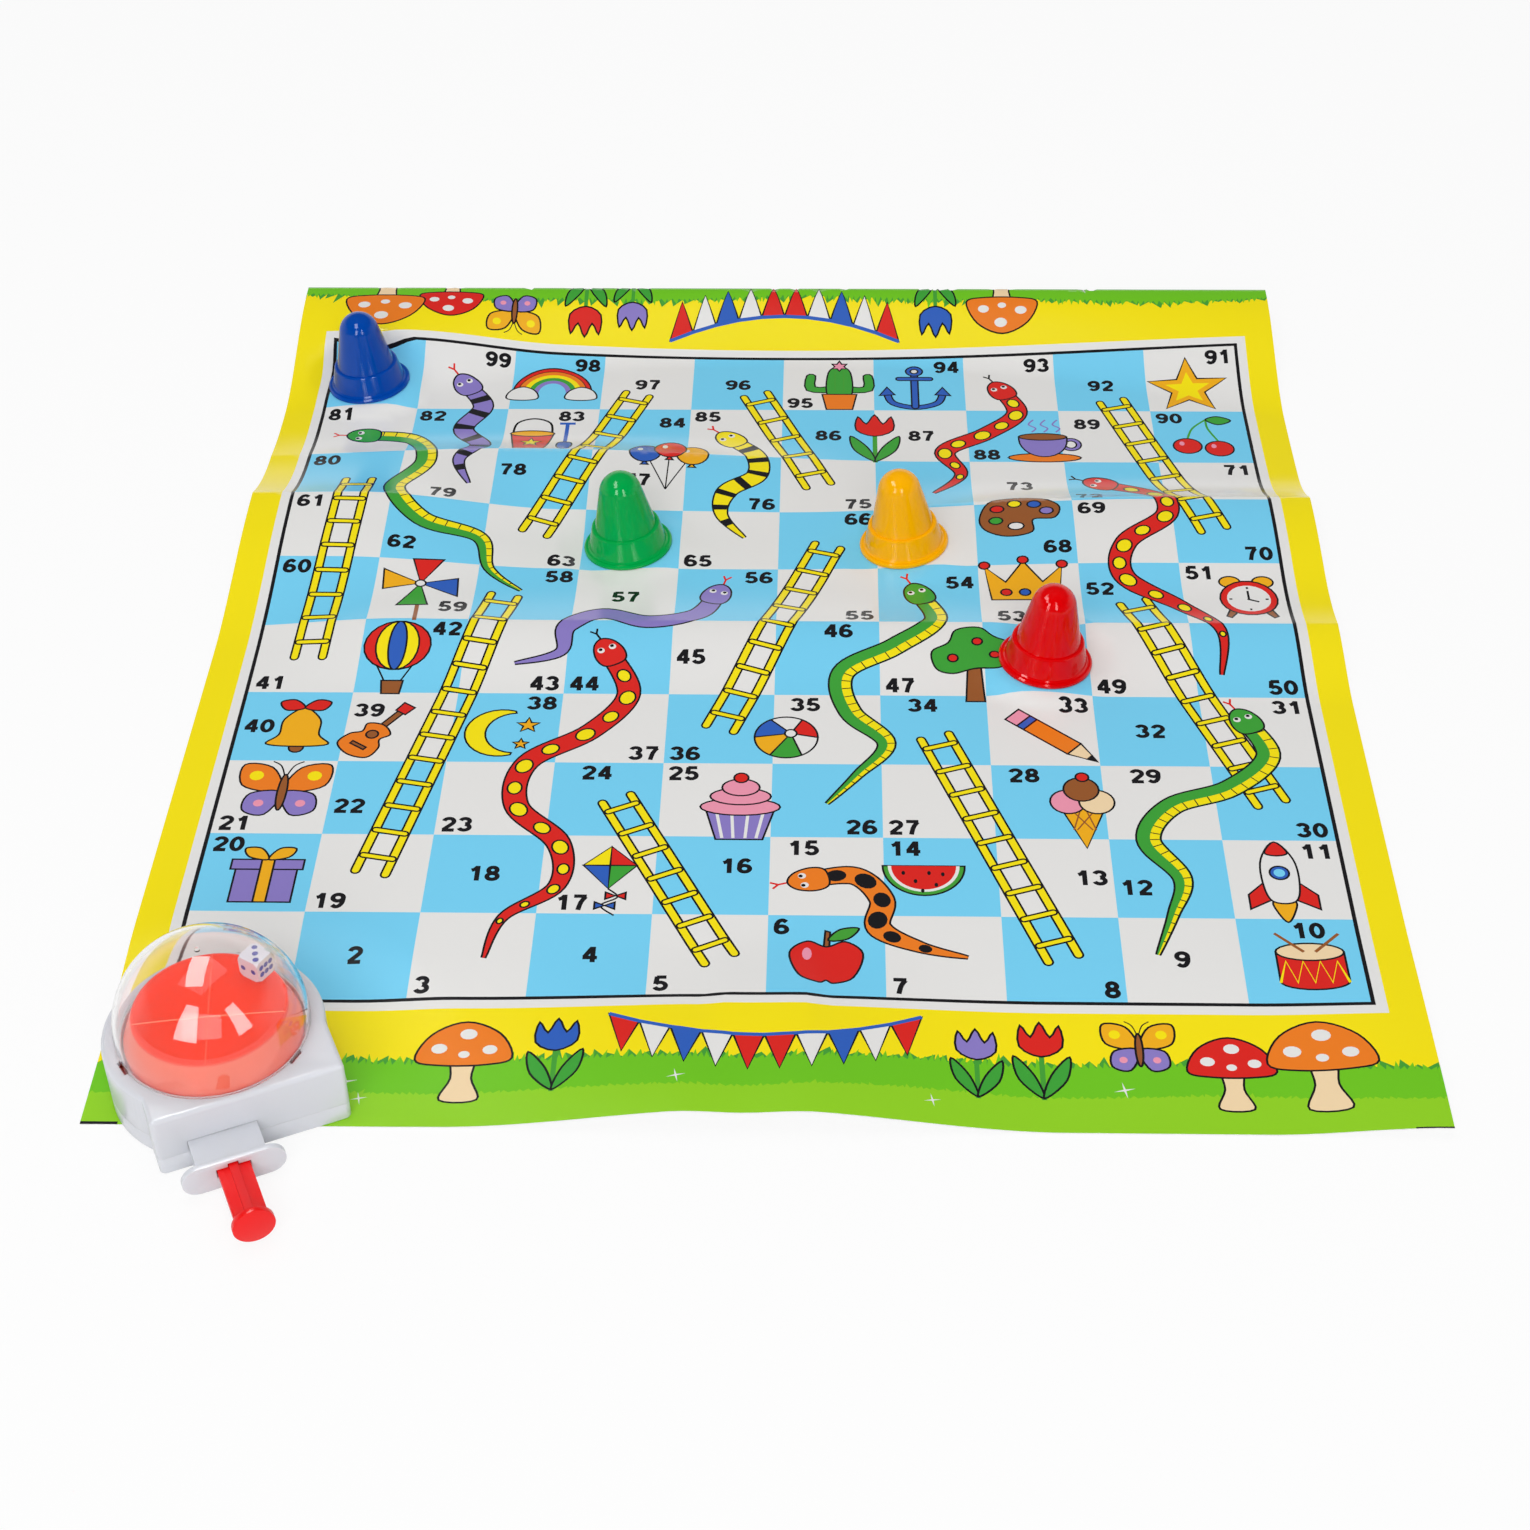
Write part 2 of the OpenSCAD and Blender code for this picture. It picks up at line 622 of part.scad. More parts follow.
// Plunger: push button, ribbed bar, stop shoulders, and a rail with the ramp that lifts the kicker
module popper_plunger() {
    bar_end = shoulder_y + shoulder_l;
    bar_l = bar_end - button_y - button_t;
    ramp_over = 1;
    ramp_low_y = foot_l / 2 + ramp_over;
    ramp_high_y = -travel - foot_l / 2 - ramp_over;
    ramp_low_z = ramp_z - ramp_low_y * ramp_slope;
    ramp_high_z = ramp_z - ramp_high_y * ramp_slope;
    color("red") on_popper() {
        translate([neck_x, button_y + button_t, axis_z]) rotate([90, 0, 0])
            cylinder(d = button_d, h = button_t);
        translate([neck_x - bar_w / 2, button_y + button_t, bar_low]) cube([bar_w, bar_l, bar_t]);
        translate([neck_x - rib_w / 2, button_y + button_t, bar_low]) cube([rib_w, bar_l, bar_t + rib_h]);
        translate([neck_x - bar_w / 2 - shoulder_reach, shoulder_y, bar_low])
            cube([bar_w + 2 * shoulder_reach, shoulder_l, bar_t]);
        translate([rail_right, 0, 0]) rotate([90, 0, -90]) linear_extrude(rail_w)
            polygon([[-shoulder_y, rail_foot], [-shoulder_y, bar_top], [-bar_end, bar_top],
                [-ramp_high_y, ramp_high_z], [-ramp_low_y, ramp_low_z],
                [-nose_y, ramp_low_z], [-nose_y, rail_foot]]);
        translate([rail_x, nose_y, spring_z]) rotate([-90, 0, 0]) cylinder(r = pin_r, h = nose_pin);
    }
}

// Return spring: one wire swept along a helix, with straight ends
ring_sides = 6;
curl_rings = 8;
wire_lead = wire_d;
spring_gap = 0.15;
coil_l = spring_l - 2 * spring_gap - 2 * wire_lead;
spring_steps = curls * curl_rings;
spring_pitch = coil_l / curls;
function wire_point(k) =
    k < 0 ? [curl_d / 2, -wire_lead, 0] :
    k > spring_steps ? [curl_d / 2, coil_l + wire_lead, 0] :
    let (a = 360 * k / curl_rings) [curl_d / 2 * cos(a), coil_l * k / spring_steps, curl_d / 2 * sin(a)];
wire_path = [for (k = [-1 : spring_steps + 1]) wire_point(k)];
function unit(v) = v / norm(v);
function heading(k) =
    k == 0 || k == len(wire_path) - 1 ? [0, 1, 0] : unit(wire_path[k + 1] - wire_path[k - 1]);
function wire_ring(k) =
    let (
        ahead = heading(k),
        spoke = [wire_path[k][0], 0, wire_path[k][2]],
        out = unit(spoke - ahead * (ahead * spoke)),
        up = cross(ahead, out)
    )
    [for (s = [0 : ring_sides - 1])
        let (a = 360 * s / ring_sides) wire_path[k] + wire_d / 2 * (cos(a) * out + sin(a) * up)];
echo(least_gap_between_curls = min([for (i = [0 : len(wire_path) - 1 - curl_rings])
    norm(wire_path[i + curl_rings] - wire_path[i])]) - wire_d);

module plunger_spring() {
    rings = len(wire_path);
    points = [for (k = [0 : rings - 1]) each wire_ring(k)];
    sides = [for (k = [0 : rings - 2]) for (s = [0 : ring_sides - 1])
        let (a = k * ring_sides + s, b = k * ring_sides + (s + 1) % ring_sides)
        each [[a, b + ring_sides, b], [a, a + ring_sides, b + ring_sides]]];
    last = (rings - 1) * ring_sides;
    ends = [for (s = [1 : ring_sides - 2]) each [[0, s, s + 1], [last, last + s + 1, last + s]]];
    color("silver") on_popper() translate([rail_x, nose_y + spring_gap + wire_lead, spring_z])
        polyhedron(points, concat(sides, ends), convexity = 10);
}

play_mat();
pawn_blue();
pawn_green();
pawn_yellow();
pawn_red();
popper_lower_shell();
popper_upper_shell();
popper_screws();
popper_dome();
popper_kicker();
popper_die();
popper_plunger();
plunger_spring();
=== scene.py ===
# Snakes and ladders set: a printed film mat, four cone pawns and a plunger dice popper
import math
import random

import bpy
import numpy as np
from mathutils import Euler, Matrix, Vector
from mathutils.geometry import delaunay_2d_cdt


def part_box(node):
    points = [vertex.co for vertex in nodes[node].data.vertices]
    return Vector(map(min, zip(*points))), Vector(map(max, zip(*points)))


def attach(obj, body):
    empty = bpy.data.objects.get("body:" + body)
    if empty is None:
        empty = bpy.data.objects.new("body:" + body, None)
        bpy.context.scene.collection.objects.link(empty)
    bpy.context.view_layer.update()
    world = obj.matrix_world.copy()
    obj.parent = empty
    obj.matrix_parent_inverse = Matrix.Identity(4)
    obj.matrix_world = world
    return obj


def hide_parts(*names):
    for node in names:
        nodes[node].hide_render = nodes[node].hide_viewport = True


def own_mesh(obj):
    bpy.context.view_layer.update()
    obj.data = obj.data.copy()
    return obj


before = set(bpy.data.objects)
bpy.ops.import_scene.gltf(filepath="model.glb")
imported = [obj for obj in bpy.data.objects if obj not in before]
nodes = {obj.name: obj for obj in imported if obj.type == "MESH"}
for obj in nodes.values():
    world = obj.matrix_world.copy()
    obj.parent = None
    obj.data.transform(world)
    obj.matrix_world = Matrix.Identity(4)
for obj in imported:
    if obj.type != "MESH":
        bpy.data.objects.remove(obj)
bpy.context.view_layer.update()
mm = 0.001
print("frame loaded:", len(nodes), "nodes")


# Small helpers for colours, nodes and materials

def linear(hexColour):  # sRGB hex to linear
    parts = [int(hexColour[i:i + 2], 16) / 255 for i in (1, 3, 5)]
    return tuple(c / 12.92 if c <= 0.04045 else ((c + 0.055) / 1.055) ** 2.4 for c in parts) + (1.0,)


def addNode(tree, kind, inputs={}, **settings):
    node = tree.nodes.new(kind)
    for name, value in settings.items():
        setattr(node, name, value)
    for socket, value in inputs.items():
        if isinstance(value, bpy.types.NodeSocket):
            tree.links.new(value, node.inputs[socket])
        else:
            node.inputs[socket].default_value = value
    return node


def addObject(name, data):
    obj = bpy.data.objects.new(name, data)
    bpy.context.scene.collection.objects.link(obj)
    return obj


def newMaterial(name, sockets):  # a Principled material with its sockets set
    material = bpy.data.materials.new(name)
    material.use_nodes = True
    tree = material.node_tree
    shader = tree.nodes["Principled BSDF"]
    for socket, value in sockets.items():
        shader.inputs[socket].default_value = value
    return material, tree, shader


def addGloss(tree, shader, rough, cloud, detail):  # roughness that varies over clouds of a size in mm
    place = addNode(tree, "ShaderNodeTexCoord")
    noise = addNode(tree, "ShaderNodeTexNoise", {
        "Vector": place.outputs["Object"], "Scale": 1 / (cloud * mm), "Detail": detail})
    gloss = addNode(tree, "ShaderNodeMapRange", {
        "Value": noise.outputs[0], "To Min": rough[0], "To Max": rough[1]})
    tree.links.new(gloss.outputs[0], shader.inputs["Roughness"])
    return noise


def deselect():
    bpy.ops.object.select_all(action="DESELECT")


def selectOnly(obj):
    deselect()
    obj.select_set(True)
    bpy.context.view_layer.objects.active = obj


def applyModifier(obj, kind, **settings):  # on the active object
    modifier = obj.modifiers.new(kind, kind)
    for name, value in settings.items():
        setattr(modifier, name, value)
    bpy.ops.object.modifier_apply(modifier=modifier.name)


# Camera, at the photograph's viewing angle

photoCamera = {
    "lens": 61.86,
    "sensor": 36.0,
    "place": (17.98, -788.06, 629.71),  # mm
    "pitch": 0.7082,  # radians, down
    "yaw": 0.0283,
    "roll": -0.0119,
}


def addCamera(spec):
    data = bpy.data.cameras.new("photoCamera")
    data.lens = spec["lens"]
    data.sensor_width = spec["sensor"]
    data.clip_end = 20
    camera = addObject("photoCamera", data)
    turn = Matrix.Rotation(spec["yaw"], 4, "Z")
    tilt = Matrix.Rotation(math.pi / 2 - spec["pitch"], 4, "X")
    roll = Matrix.Rotation(spec["roll"], 4, "Z")
    camera.matrix_world = Matrix.Translation(Vector(spec["place"]) * mm) @ turn @ tilt @ roll
    bpy.context.scene.camera = camera


addCamera(photoCamera)


# Studio: a white sweep with soft light from all round, a softbox, a front light and three strip lamps

studio = {
    "floorWide": 9.0,  # m
    "floorColour": "#f4f4f4",
    "floorGlow": 0.86,  # share of the floor that the camera sees as plain white
    "surround": 0.47,  # light on the object from all round
    "dark": 0.1,  # what gloss mirrors above the sweep and behind the camera
    "sweepTop": (0.3, 0.5),  # the white sweep ends between these heights on the unit ball
    "sweepFront": (-0.5, 0.1),  # and fades between these depths
    "softbox": ((-0.25, 0.15, 1.7), (0.0, 0.0, 0.0), 1.4, 1.0, 7.0),  # place, target, width, height, watts
    "frontLight": ((-0.1, -1.7, 1.2), (0.0, 0.0, 0.0), 1.6, 1.0, 19.0),
    "strips": [  # mirrored as small bright windows in the dome and the pawns
        ((-0.271, -0.516, 0.374), (-0.175, -0.211, 0.374), 0.16, 0.45, 2.5),
        ((0.175, -0.461, 0.357), (-0.175, -0.211, 0.357), 0.144, 0.4, 2.0),
        ((-0.253, -0.086, 0.49), (-0.253, -0.086, 0.0), 0.156, 0.35, 2.0),
    ],
}


def seenDirectly(tree):  # 1 for camera, mirror and see-through rays
    path = addNode(tree, "ShaderNodeLightPath").outputs
    first = addNode(tree, "ShaderNodeMath", {0: path["Is Camera Ray"], 1: path["Is Glossy Ray"]},
                    operation="MAXIMUM")
    both = addNode(tree, "ShaderNodeMath", {0: first.outputs[0], 1: path["Is Transmission Ray"]},
                   operation="MAXIMUM")
    return both.outputs[0]


def addLamp(name, place, target, width, height, watts):
    data = bpy.data.lights.new(name, "AREA")
    data.shape = "RECTANGLE"
    data.size = width
    data.size_y = height
    data.energy = watts
    lamp = addObject(name, data)
    lamp.location = place
    lamp.rotation_euler = (Vector(target) - Vector(place)).to_track_quat("-Z", "Y").to_euler()
    lamp.visible_camera = False
    return lamp


def addSky(spec):  # even for light, white for the camera, and a sweep with dark ends for gloss
    world = bpy.data.worlds.new("whiteSweep")
    bpy.context.scene.world = world
    world.use_nodes = True
    tree = world.node_tree
    sky = tree.nodes["Background"]
    sky.inputs["Color"].default_value = (1, 1, 1, 1)
    place = addNode(tree, "ShaderNodeTexCoord")
    way = addNode(tree, "ShaderNodeSeparateXYZ", {0: place.outputs["Generated"]})
    below = addNode(tree, "ShaderNodeMapRange", {
        "Value": way.outputs["Z"], "From Min": spec["sweepTop"][0], "From Max": spec["sweepTop"][1],
        "To Min": 1.0, "To Max": spec["dark"]})
    behind = addNode(tree, "ShaderNodeMapRange", {
        "Value": way.outputs["Y"], "From Min": spec["sweepFront"][0], "From Max": spec["sweepFront"][1],
        "To Min": spec["dark"], "To Max": 1.0})
    mirrored = addNode(tree, "ShaderNodeMath", {0: below.outputs[0], 1: behind.outputs[0]},
                       operation="MULTIPLY")
    even = addNode(tree, "ShaderNodeMapRange", {
        "Value": seenDirectly(tree), "To Min": spec["surround"], "To Max": 1.0})
    path = addNode(tree, "ShaderNodeLightPath").outputs
    glossy = addNode(tree, "ShaderNodeMath", {0: path["Is Glossy Ray"], 1: path["Is Transmission Ray"]},
                     operation="SUBTRACT", use_clamp=True)
    level = addNode(tree, "ShaderNodeMapRange", {
        "Value": glossy.outputs[0], "To Min": even.outputs[0], "To Max": mirrored.outputs[0]})
    tree.links.new(level.outputs[0], sky.inputs["Strength"])


def addFloor(spec):
    deselect()
    bpy.ops.mesh.primitive_plane_add(size=spec["floorWide"])
    floor = bpy.context.object
    floor.name = "floor"
    material, tree, shader = newMaterial("paleFloor", {
        "Base Color": linear(spec["floorColour"]), "Roughness": 0.9, "Specular IOR Level": 0.0})
    glow = addNode(tree, "ShaderNodeEmission", {"Color": (1, 1, 1, 1), "Strength": 1.0})
    share = addNode(tree, "ShaderNodeMath", {0: seenDirectly(tree), 1: spec["floorGlow"]},
                    operation="MULTIPLY")
    mix = addNode(tree, "ShaderNodeMixShader", {
        0: share.outputs[0], 1: shader.outputs[0], 2: glow.outputs[0]})
    tree.links.new(mix.outputs[0], tree.nodes["Material Output"].inputs["Surface"])
    floor.data.materials.append(material)


def addStudio(spec):
    bpy.context.scene.view_settings.view_transform = "Standard"
    addSky(spec)
    addFloor(spec)
    addLamp("softbox", *spec["softbox"]).visible_glossy = False
    addLamp("front light", *spec["frontLight"]).visible_glossy = False
    for strip in spec["strips"]:
        lamp = addLamp("strip lamp", *strip)
        lamp.visible_diffuse = False
        lamp.visible_transmission = False


addStudio(studio)
print("studio ready")


# Play mat: one printed film, painted in squares of the grid and then laid in waves

matLow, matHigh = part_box("play_mat")
mat = {
    "cell": 40.0,  # mm, side of a square
    "squares": 10,
    "film": 0.3,  # mm
    "mesh": 4.5,  # mm between the points that carry the waves
    "backMesh": 3.6,
    "pen": 0.75,  # mm, black outline
    "margin": 0.13,  # squares, white band round the grid
    "frameLine": 0.036,  # squares
    "cornerStrips": (0.3, 0.03),  # squares, black strips along the front edge at the two front corners
    "middleY": (matLow.y + matHigh.y) / 2 / mm,
    "wide": (matHigh.x - matLow.x) / mm,
    "long": (matHigh.y - matLow.y) / mm,
}
cell, squares = mat["cell"], mat["squares"]
half = squares / 2
left = half - mat["wide"] / 2 / cell
right = half + mat["wide"] / 2 / cell
front = half - mat["long"] / 2 / cell
back = half + mat["long"] / 2 / cell

inkColours = {
    "white": "#edecea",
    "yellow": "#ffea05",
    "sky": "#7ad7fb",
    "black": "#17161a",
    "grass": "#72cb1e",
    "meadow": "#94d622",
    "leaf": "#46a437",
    "red": "#e3241d",
    "orange": "#f5811f",
    "green": "#3fa739",
    "violet": "#8f7fca",
    "brown": "#9c5b2c",
    "pink": "#f49bb4",
    "navy": "#2f62c2",
    "cream": "#f8dcb0",
    "gold": "#f9b418",
}
inkNames = list(inkColours)
painted = []  # (ink, outline) in print order, in squares


def signedArea(points):
    return sum(a[0] * b[1] - b[0] * a[1] for a, b in zip(points, points[1:] + points[:1])) / 2


def paint(ink, points):
    area = signedArea(points)
    if abs(area) < 1e-6:  # slivers of a digit don't show
        return
    longest = mat["mesh"] / cell
    outline = []
    for (x0, y0), (x1, y1) in zip(points, points[1:] + points[:1]):  # cut to follow the waves
        count = max(1, math.ceil(math.hypot(x1 - x0, y1 - y0) / longest))
        outline += [(x0 + (x1 - x0) * i / count, y0 + (y1 - y0) * i / count) for i in range(count)]
    painted.append((ink, outline if area > 0 else outline[::-1]))


def covers(points, u, v):  # winding test
    turns = 0
    for (x0, y0), (x1, y1) in zip(points, points[1:] + points[:1]):
        if (y0 <= v) != (y1 <= v):
            side = (x1 - x0) * (v - y0) - (u - x0) * (y1 - y0)
            if (side > 0) == (y1 > y0):
                turns += 1 if y1 > y0 else -1
    return turns != 0


def grow(points, by):  # outline moved outwards, with corners kept from running away
    if signedArea(points) < 0:
        points = points[::-1]
    grown = []
    for i, here in enumerate(points):
        before = points[i - 1]
        after = points[(i + 1) % len(points)]
        a = Vector((here[1] - before[1], before[0] - here[0])).normalized()
        b = Vector((after[1] - here[1], here[0] - after[0])).normalized()
        shift = (a + b) * (by / max(1 + a.dot(b), 0.5))
        grown.append((here[0] + shift.x, here[1] + shift.y))
    return grown


def rectangle(u0, v0, u1, v1):
    return [(u0, v0), (u1, v0), (u1, v1), (u0, v1)]


def disc(x, y, wide, high=None, start=0, stop=360, sides=22):
    high = wide if high is None else high
    count = sides if stop - start < 360 else sides - 1
    turns = [math.radians(start + (stop - start) * i / sides) for i in range(count + 1)]
    return [(x + wide * math.cos(t), y + high * math.sin(t)) for t in turns]


def smooth(points, steps=5, closed=True):  # Catmull-Rom curve through a few points
    count = len(points)
    curve = []
    for i in range(count if closed else count - 1):
        if closed:
            a, b, c, d = [points[(i + k) % count] for k in (-1, 0, 1, 2)]
        else:
            a, b, c, d = [points[min(max(i + k, 0), count - 1)] for k in (-1, 0, 1, 2)]
        for t in (j / steps for j in range(steps)):
            curve.append(tuple(
                0.5 * (2 * q + (r - p) * t + (2 * p - 5 * q + 4 * r - s) * t * t
                       + (3 * q - p - 3 * r + s) * t ** 3)
                for p, q, r, s in zip(a, b, c, d)))
    return curve if closed else curve + [points[-1]]


def ribbon(path, widths):  # band along a path, as one outline
    sides = []
    for i, here in enumerate(path):
        a = Vector(path[max(i - 1, 0)])
        b = Vector(path[min(i + 1, len(path) - 1)])
        along = (b - a).normalized()
        sides.append((Vector(here), Vector((-along.y, along.x)), widths[i] / 2))
    return [tuple(p + n * w) for p, n, w in sides] + [tuple(p - n * w) for p, n, w in reversed(sides)]


def capsule(a, b, width, sides=6):  # bar with round ends
    turn = math.degrees(math.atan2(b[1] - a[1], b[0] - a[0]))
    return (disc(b[0], b[1], width / 2, None, turn - 90, turn + 90, sides)
            + disc(a[0], a[1], width / 2, None, turn + 90, turn + 270, sides))


def starShape(x, y, size, points=5, inner=0.42, turn=90):
    spots = []
    for i in range(points * 2):
        reach = size if i % 2 == 0 else size * inner
        angle = math.radians(turn + 180 / points * i)
        spots.append((x + reach * math.cos(angle), y + reach * math.sin(angle)))
    return spots


# Pictures: items of ink and outline, in hundredths of a box about one square wide.
# An item with False at its end gets no black outline.

def line(ink, path, width=2):
    return (ink, ribbon(path, [width] * len(path)), False)


def twins(*items):  # the items' mirror images, then the items
    return [(ink, [(side * x, y) for x, y in points], *plain)
            for side in (-1, 1) for ink, points, *plain in items]


def symmetric(side):  # an outline from its right half, top to bottom
    return side + [(-x, y) for x, y in side[::-1] if x]


def turned(items, angle):
    turn = Matrix.Rotation(math.radians(angle), 2)
    return [(ink, [tuple(turn @ Vector(p)) for p in points]) for ink, points in items]


def kite():
    items = [line("black", smooth([(0, -12), (10, -24), (-6, -36), (8, -50)], 6, False))]
    for x, y, ink in ((8, -22, "red"), (-2, -36, "navy")):
        items += [(ink, [(x, y), (x + bow, y + 5), (x + bow, y - 5)]) for bow in (-10, 10)]
    quarters = (("red", 50, 27), ("yellow", 50, -27), ("green", -12, 27), ("navy", -12, -27))
    return items + [(ink, [(0, end), (0, 22), (side, 22)]) for ink, end, side in quarters]


def balloons():
    items = [line("black", [(x * 0.8, 0), (0, -50)], 1.4) for x in (-24, 2, 26)]
    for x, y, ink in ((-24, 16, "navy"), (26, 14, "gold"), (2, 26, "red")):
        items += [(ink, [(x - 4, y - 25), (x + 4, y - 25), (x, y - 18)]), (ink, disc(x, y, 17, 20)),
                  ("white", disc(x - 6, y + 8, 3, 5, sides=10), False)]
    return items


def apple():
    body = smooth(symmetric([(0, 20), (20, 28), (38, 10), (28, -26), (8, -36), (0, -32)]))
    leaf = smooth([(2, 30), (14, 46), (34, 48), (22, 32)])
    return [("brown", [(-3, 16), (3, 16), (4, 42), (-1, 44)]), ("red", body), ("leaf", leaf),
            ("pink", disc(-20, 8, 5, 10, sides=12), False)]


def tree():
    leaves = smooth([(-36, -6), (-40, 16), (-24, 28), (-16, 46), (6, 50), (20, 38), (38, 28), (38, 4),
                     (22, -10), (0, -6), (-20, -12)])
    fruit = [("red", disc(x, y, 5, sides=12)) for x, y in ((-20, 8), (4, 30), (20, 10))]
    return [("brown", symmetric([(6, 0), (9, -50)])), ("green", leaves)] + fruit


def toadstool(cap):
    stem = smooth(symmetric([(10, 5), (9, -20), (16, -44)]))
    hood = smooth(symmetric([(0, 44), (30, 30), (42, 2), (20, -5)]))
    spots = [("white", disc(x, y, r, r * 0.8, sides=14), False)
             for x, y, r in ((-22, 14, 7), (2, 30, 7.5), (22, 12, 6.5), (0, 7, 5))]
    return [("cream", stem), (cap, hood)] + spots


def iceCream():
    weave = [line("brown", [(a, 3), (b, -26)], 1.4) for a, b in ((-12, 7), (2, 10), (-2, -10), (12, -7))]
    scoops = [(ink, disc(x, y, 16))
              for ink, x, y in (("pink", -13, 12), ("cream", 13, 12), ("brown", 0, 29))]
    return ([("gold", symmetric([(20, 4), (0, -50)]))] + weave + scoops
            + [("red", disc(2, 46, 6, sides=14))])


def gift():
    bows = twins(("gold", smooth([(0, 26), (10, 44), (28, 44), (22, 30)])))
    return [("violet", rectangle(-34, -42, 34, 12)), ("violet", rectangle(-40, 10, 40, 26)),
            ("gold", rectangle(-7, -42, 7, 26))] + bows


def rocket():
    body = smooth(symmetric([(0, 50), (14, 28), (16, -2), (10, -26)]))
    fins = twins(("red", [(13, 0), (30, -18), (30, -36), (10, -24)]))
    flame = smooth(symmetric([(9, -26), (8, -38), (0, -52)]))
    nose = smooth(symmetric([(0, 50), (10, 36), (0, 32)]))
    return [("gold", flame)] + fins + [("white", body), ("red", nose), ("navy", disc(0, 10, 8.5)),
                                       ("sky", disc(0, 10, 5), False)]


def goldStar():
    return [("gold", starShape(0, 0, 46)), ("yellow", starShape(0, 0, 26), False)]


def butterfly(wing="orange"):
    feeler = smooth([(0, 20), (6, 38), (15, 45)], 4, False)
    wings = twins(
        (wing, smooth([(0, 6), (14, 36), (42, 40), (40, 10), (10, 0)])),
        ("violet", smooth([(0, 0), (30, -2), (34, -26), (12, -32)])),
        ("yellow", disc(28, 24, 7, sides=12), False), ("pink", disc(20, -16, 5, sides=12), False),
        line("black", feeler, 1.6))
    return wings + [("brown", disc(0, 0, 4.5, 26))]


def tulip(petal):
    cup = smooth(symmetric([(0, 46), (9, 28), (18, 42), (20, 16), (0, 4)]), 3)
    leaves = twins(("green", smooth([(0, -46), (22, -24), (26, 4), (8, -18)])))
    return [line("leaf", [(0, -48), (0, 10)], 5)] + leaves + [(petal, cup)]


def drum():
    wall = [(-36, 20)] + disc(0, -24, 36, 12, 180, 360, 12) + [(36, 20)]
    cords = [(-36 + 9 * i, 6 if i % 2 else -26) for i in range(9)]
    sticks = twins(line("brown", [(6, 20), (34, 48)], 3.6))
    return [("red", wall), line("yellow", cords, 3), ("cream", disc(0, 20, 36, 13))] + sticks


def cactus():
    arms = twins(("green", smooth([(10, 0), (28, 0), (28, 24), (38, 24), (38, -8), (10, -12)], 3)))
    trunk = smooth(symmetric([(0, 44), (13, 30), (13, -20)]))
    ribs = [line("leaf", [(x, -12), (x, 34)], 1.6) for x in (-5, 5)]
    pot = symmetric([(20, -16), (15, -48)])
    return arms + [("green", trunk)] + ribs + [("orange", pot), ("pink", starShape(0, 44, 10, 6, 0.55))]


def cupcake():
    cup = symmetric([(32, -8), (22, -48)])
    folds = [line("white", [(x * 1.1, -10), (x * 0.8, -46)], 3) for x in (-20, -7, 7, 20)]
    layers = [("pink", disc(0, y, wide, 12)) for y, wide in ((-2, 38), (13, 29), (26, 18))]
    return [("violet", cup)] + folds + layers + [("red", disc(0, 40, 7, sides=14))]


def crown():
    band = symmetric([(0, 36), (20, 2), (42, 28), (36, -30)])
    gems = [(ink, disc(x, -16, 6, sides=12)) for x, ink in ((-20, "red"), (0, "navy"), (20, "green"))]
    knobs = [("red", disc(x, y, 6, sides=12)) for x, y in ((-42, 30), (0, 38), (42, 30))]
    return [("gold", band)] + gems + knobs


def moon():
    rim = disc(-5, 0, 42, 42, 70, 290, 18) + disc(13, 0, 36, 36, 266, 94, 14)
    return [("yellow", rim), ("gold", starShape(26, 14, 14)), ("gold", starShape(20, -20, 10))]


def bell():
    body = smooth(symmetric([(0, 36), (20, 16), (22, -10), (34, -26), (0, -30)]))
    bows = twins(("red", smooth([(0, 36), (12, 50), (28, 46), (20, 32)])))
    return [("brown", disc(0, -32, 8, sides=14)), ("gold", body)] + bows


def pencil():
    return turned([
        ("pink", rectangle(-10, 36, 10, 50)), ("navy", rectangle(-10, 28, 10, 36)),
        ("orange", rectangle(-10, -24, 10, 28)), ("cream", symmetric([(10, -24), (0, -52)])),
        ("black", symmetric([(3.5, -42), (0, -52)]))], 48)


def bucket():
    pail = [(-32, 12), (22, 12), (14, -42), (-24, -42)]
    handle = smooth([(-30, 12), (-26, 38), (-5, 48), (16, 38), (20, 12)], 4, False)
    blade = smooth([(30, -14), (46, -14), (46, -36), (38, -46), (30, -36)])
    return [line("black", handle, 3), ("red", pail), ("yellow", starShape(-5, -14, 14)),
            ("gold", disc(-5, 13, 28, 7)), line("navy", [(38, 36), (38, -16)], 5), ("navy", blade),
            line("navy", [(28, 37), (48, 37)], 5)]


def rainbow():
    bows = []
    for i, ink in enumerate(("red", "orange", "yellow", "green", "violet")):
        outer = disc(0, -20, 46 - 6 * i, 52 - 6 * i, 0, 180, 20)
        inner = disc(0, -20, 40 - 6 * i, 46 - 6 * i, 0, 180, 20)
        bows.append((ink, outer + inner[::-1], i == 0))
    cloud = symmetric([(0, -6), (14, -14), (18, -30), (0, -34)])
    return bows + [("white", smooth([(x + shift, y) for x, y in cloud])) for shift in (-34, 34)]


def palette():
    board = smooth([(-40, 0), (-26, 28), (10, 34), (40, 16), (36, -6), (14, -8), (12, -28), (-14, -34),
                    (-36, -22)])
    blobs = [(ink, disc(x, y, 7, 6, sides=12)) for ink, x, y in (
        ("red", -22, 12), ("yellow", -4, 20), ("navy", 16, 18), ("green", -24, -8), ("violet", 28, 6))]
    return [("brown", board), ("white", disc(-4, -18, 8, 6, sides=14))] + blobs


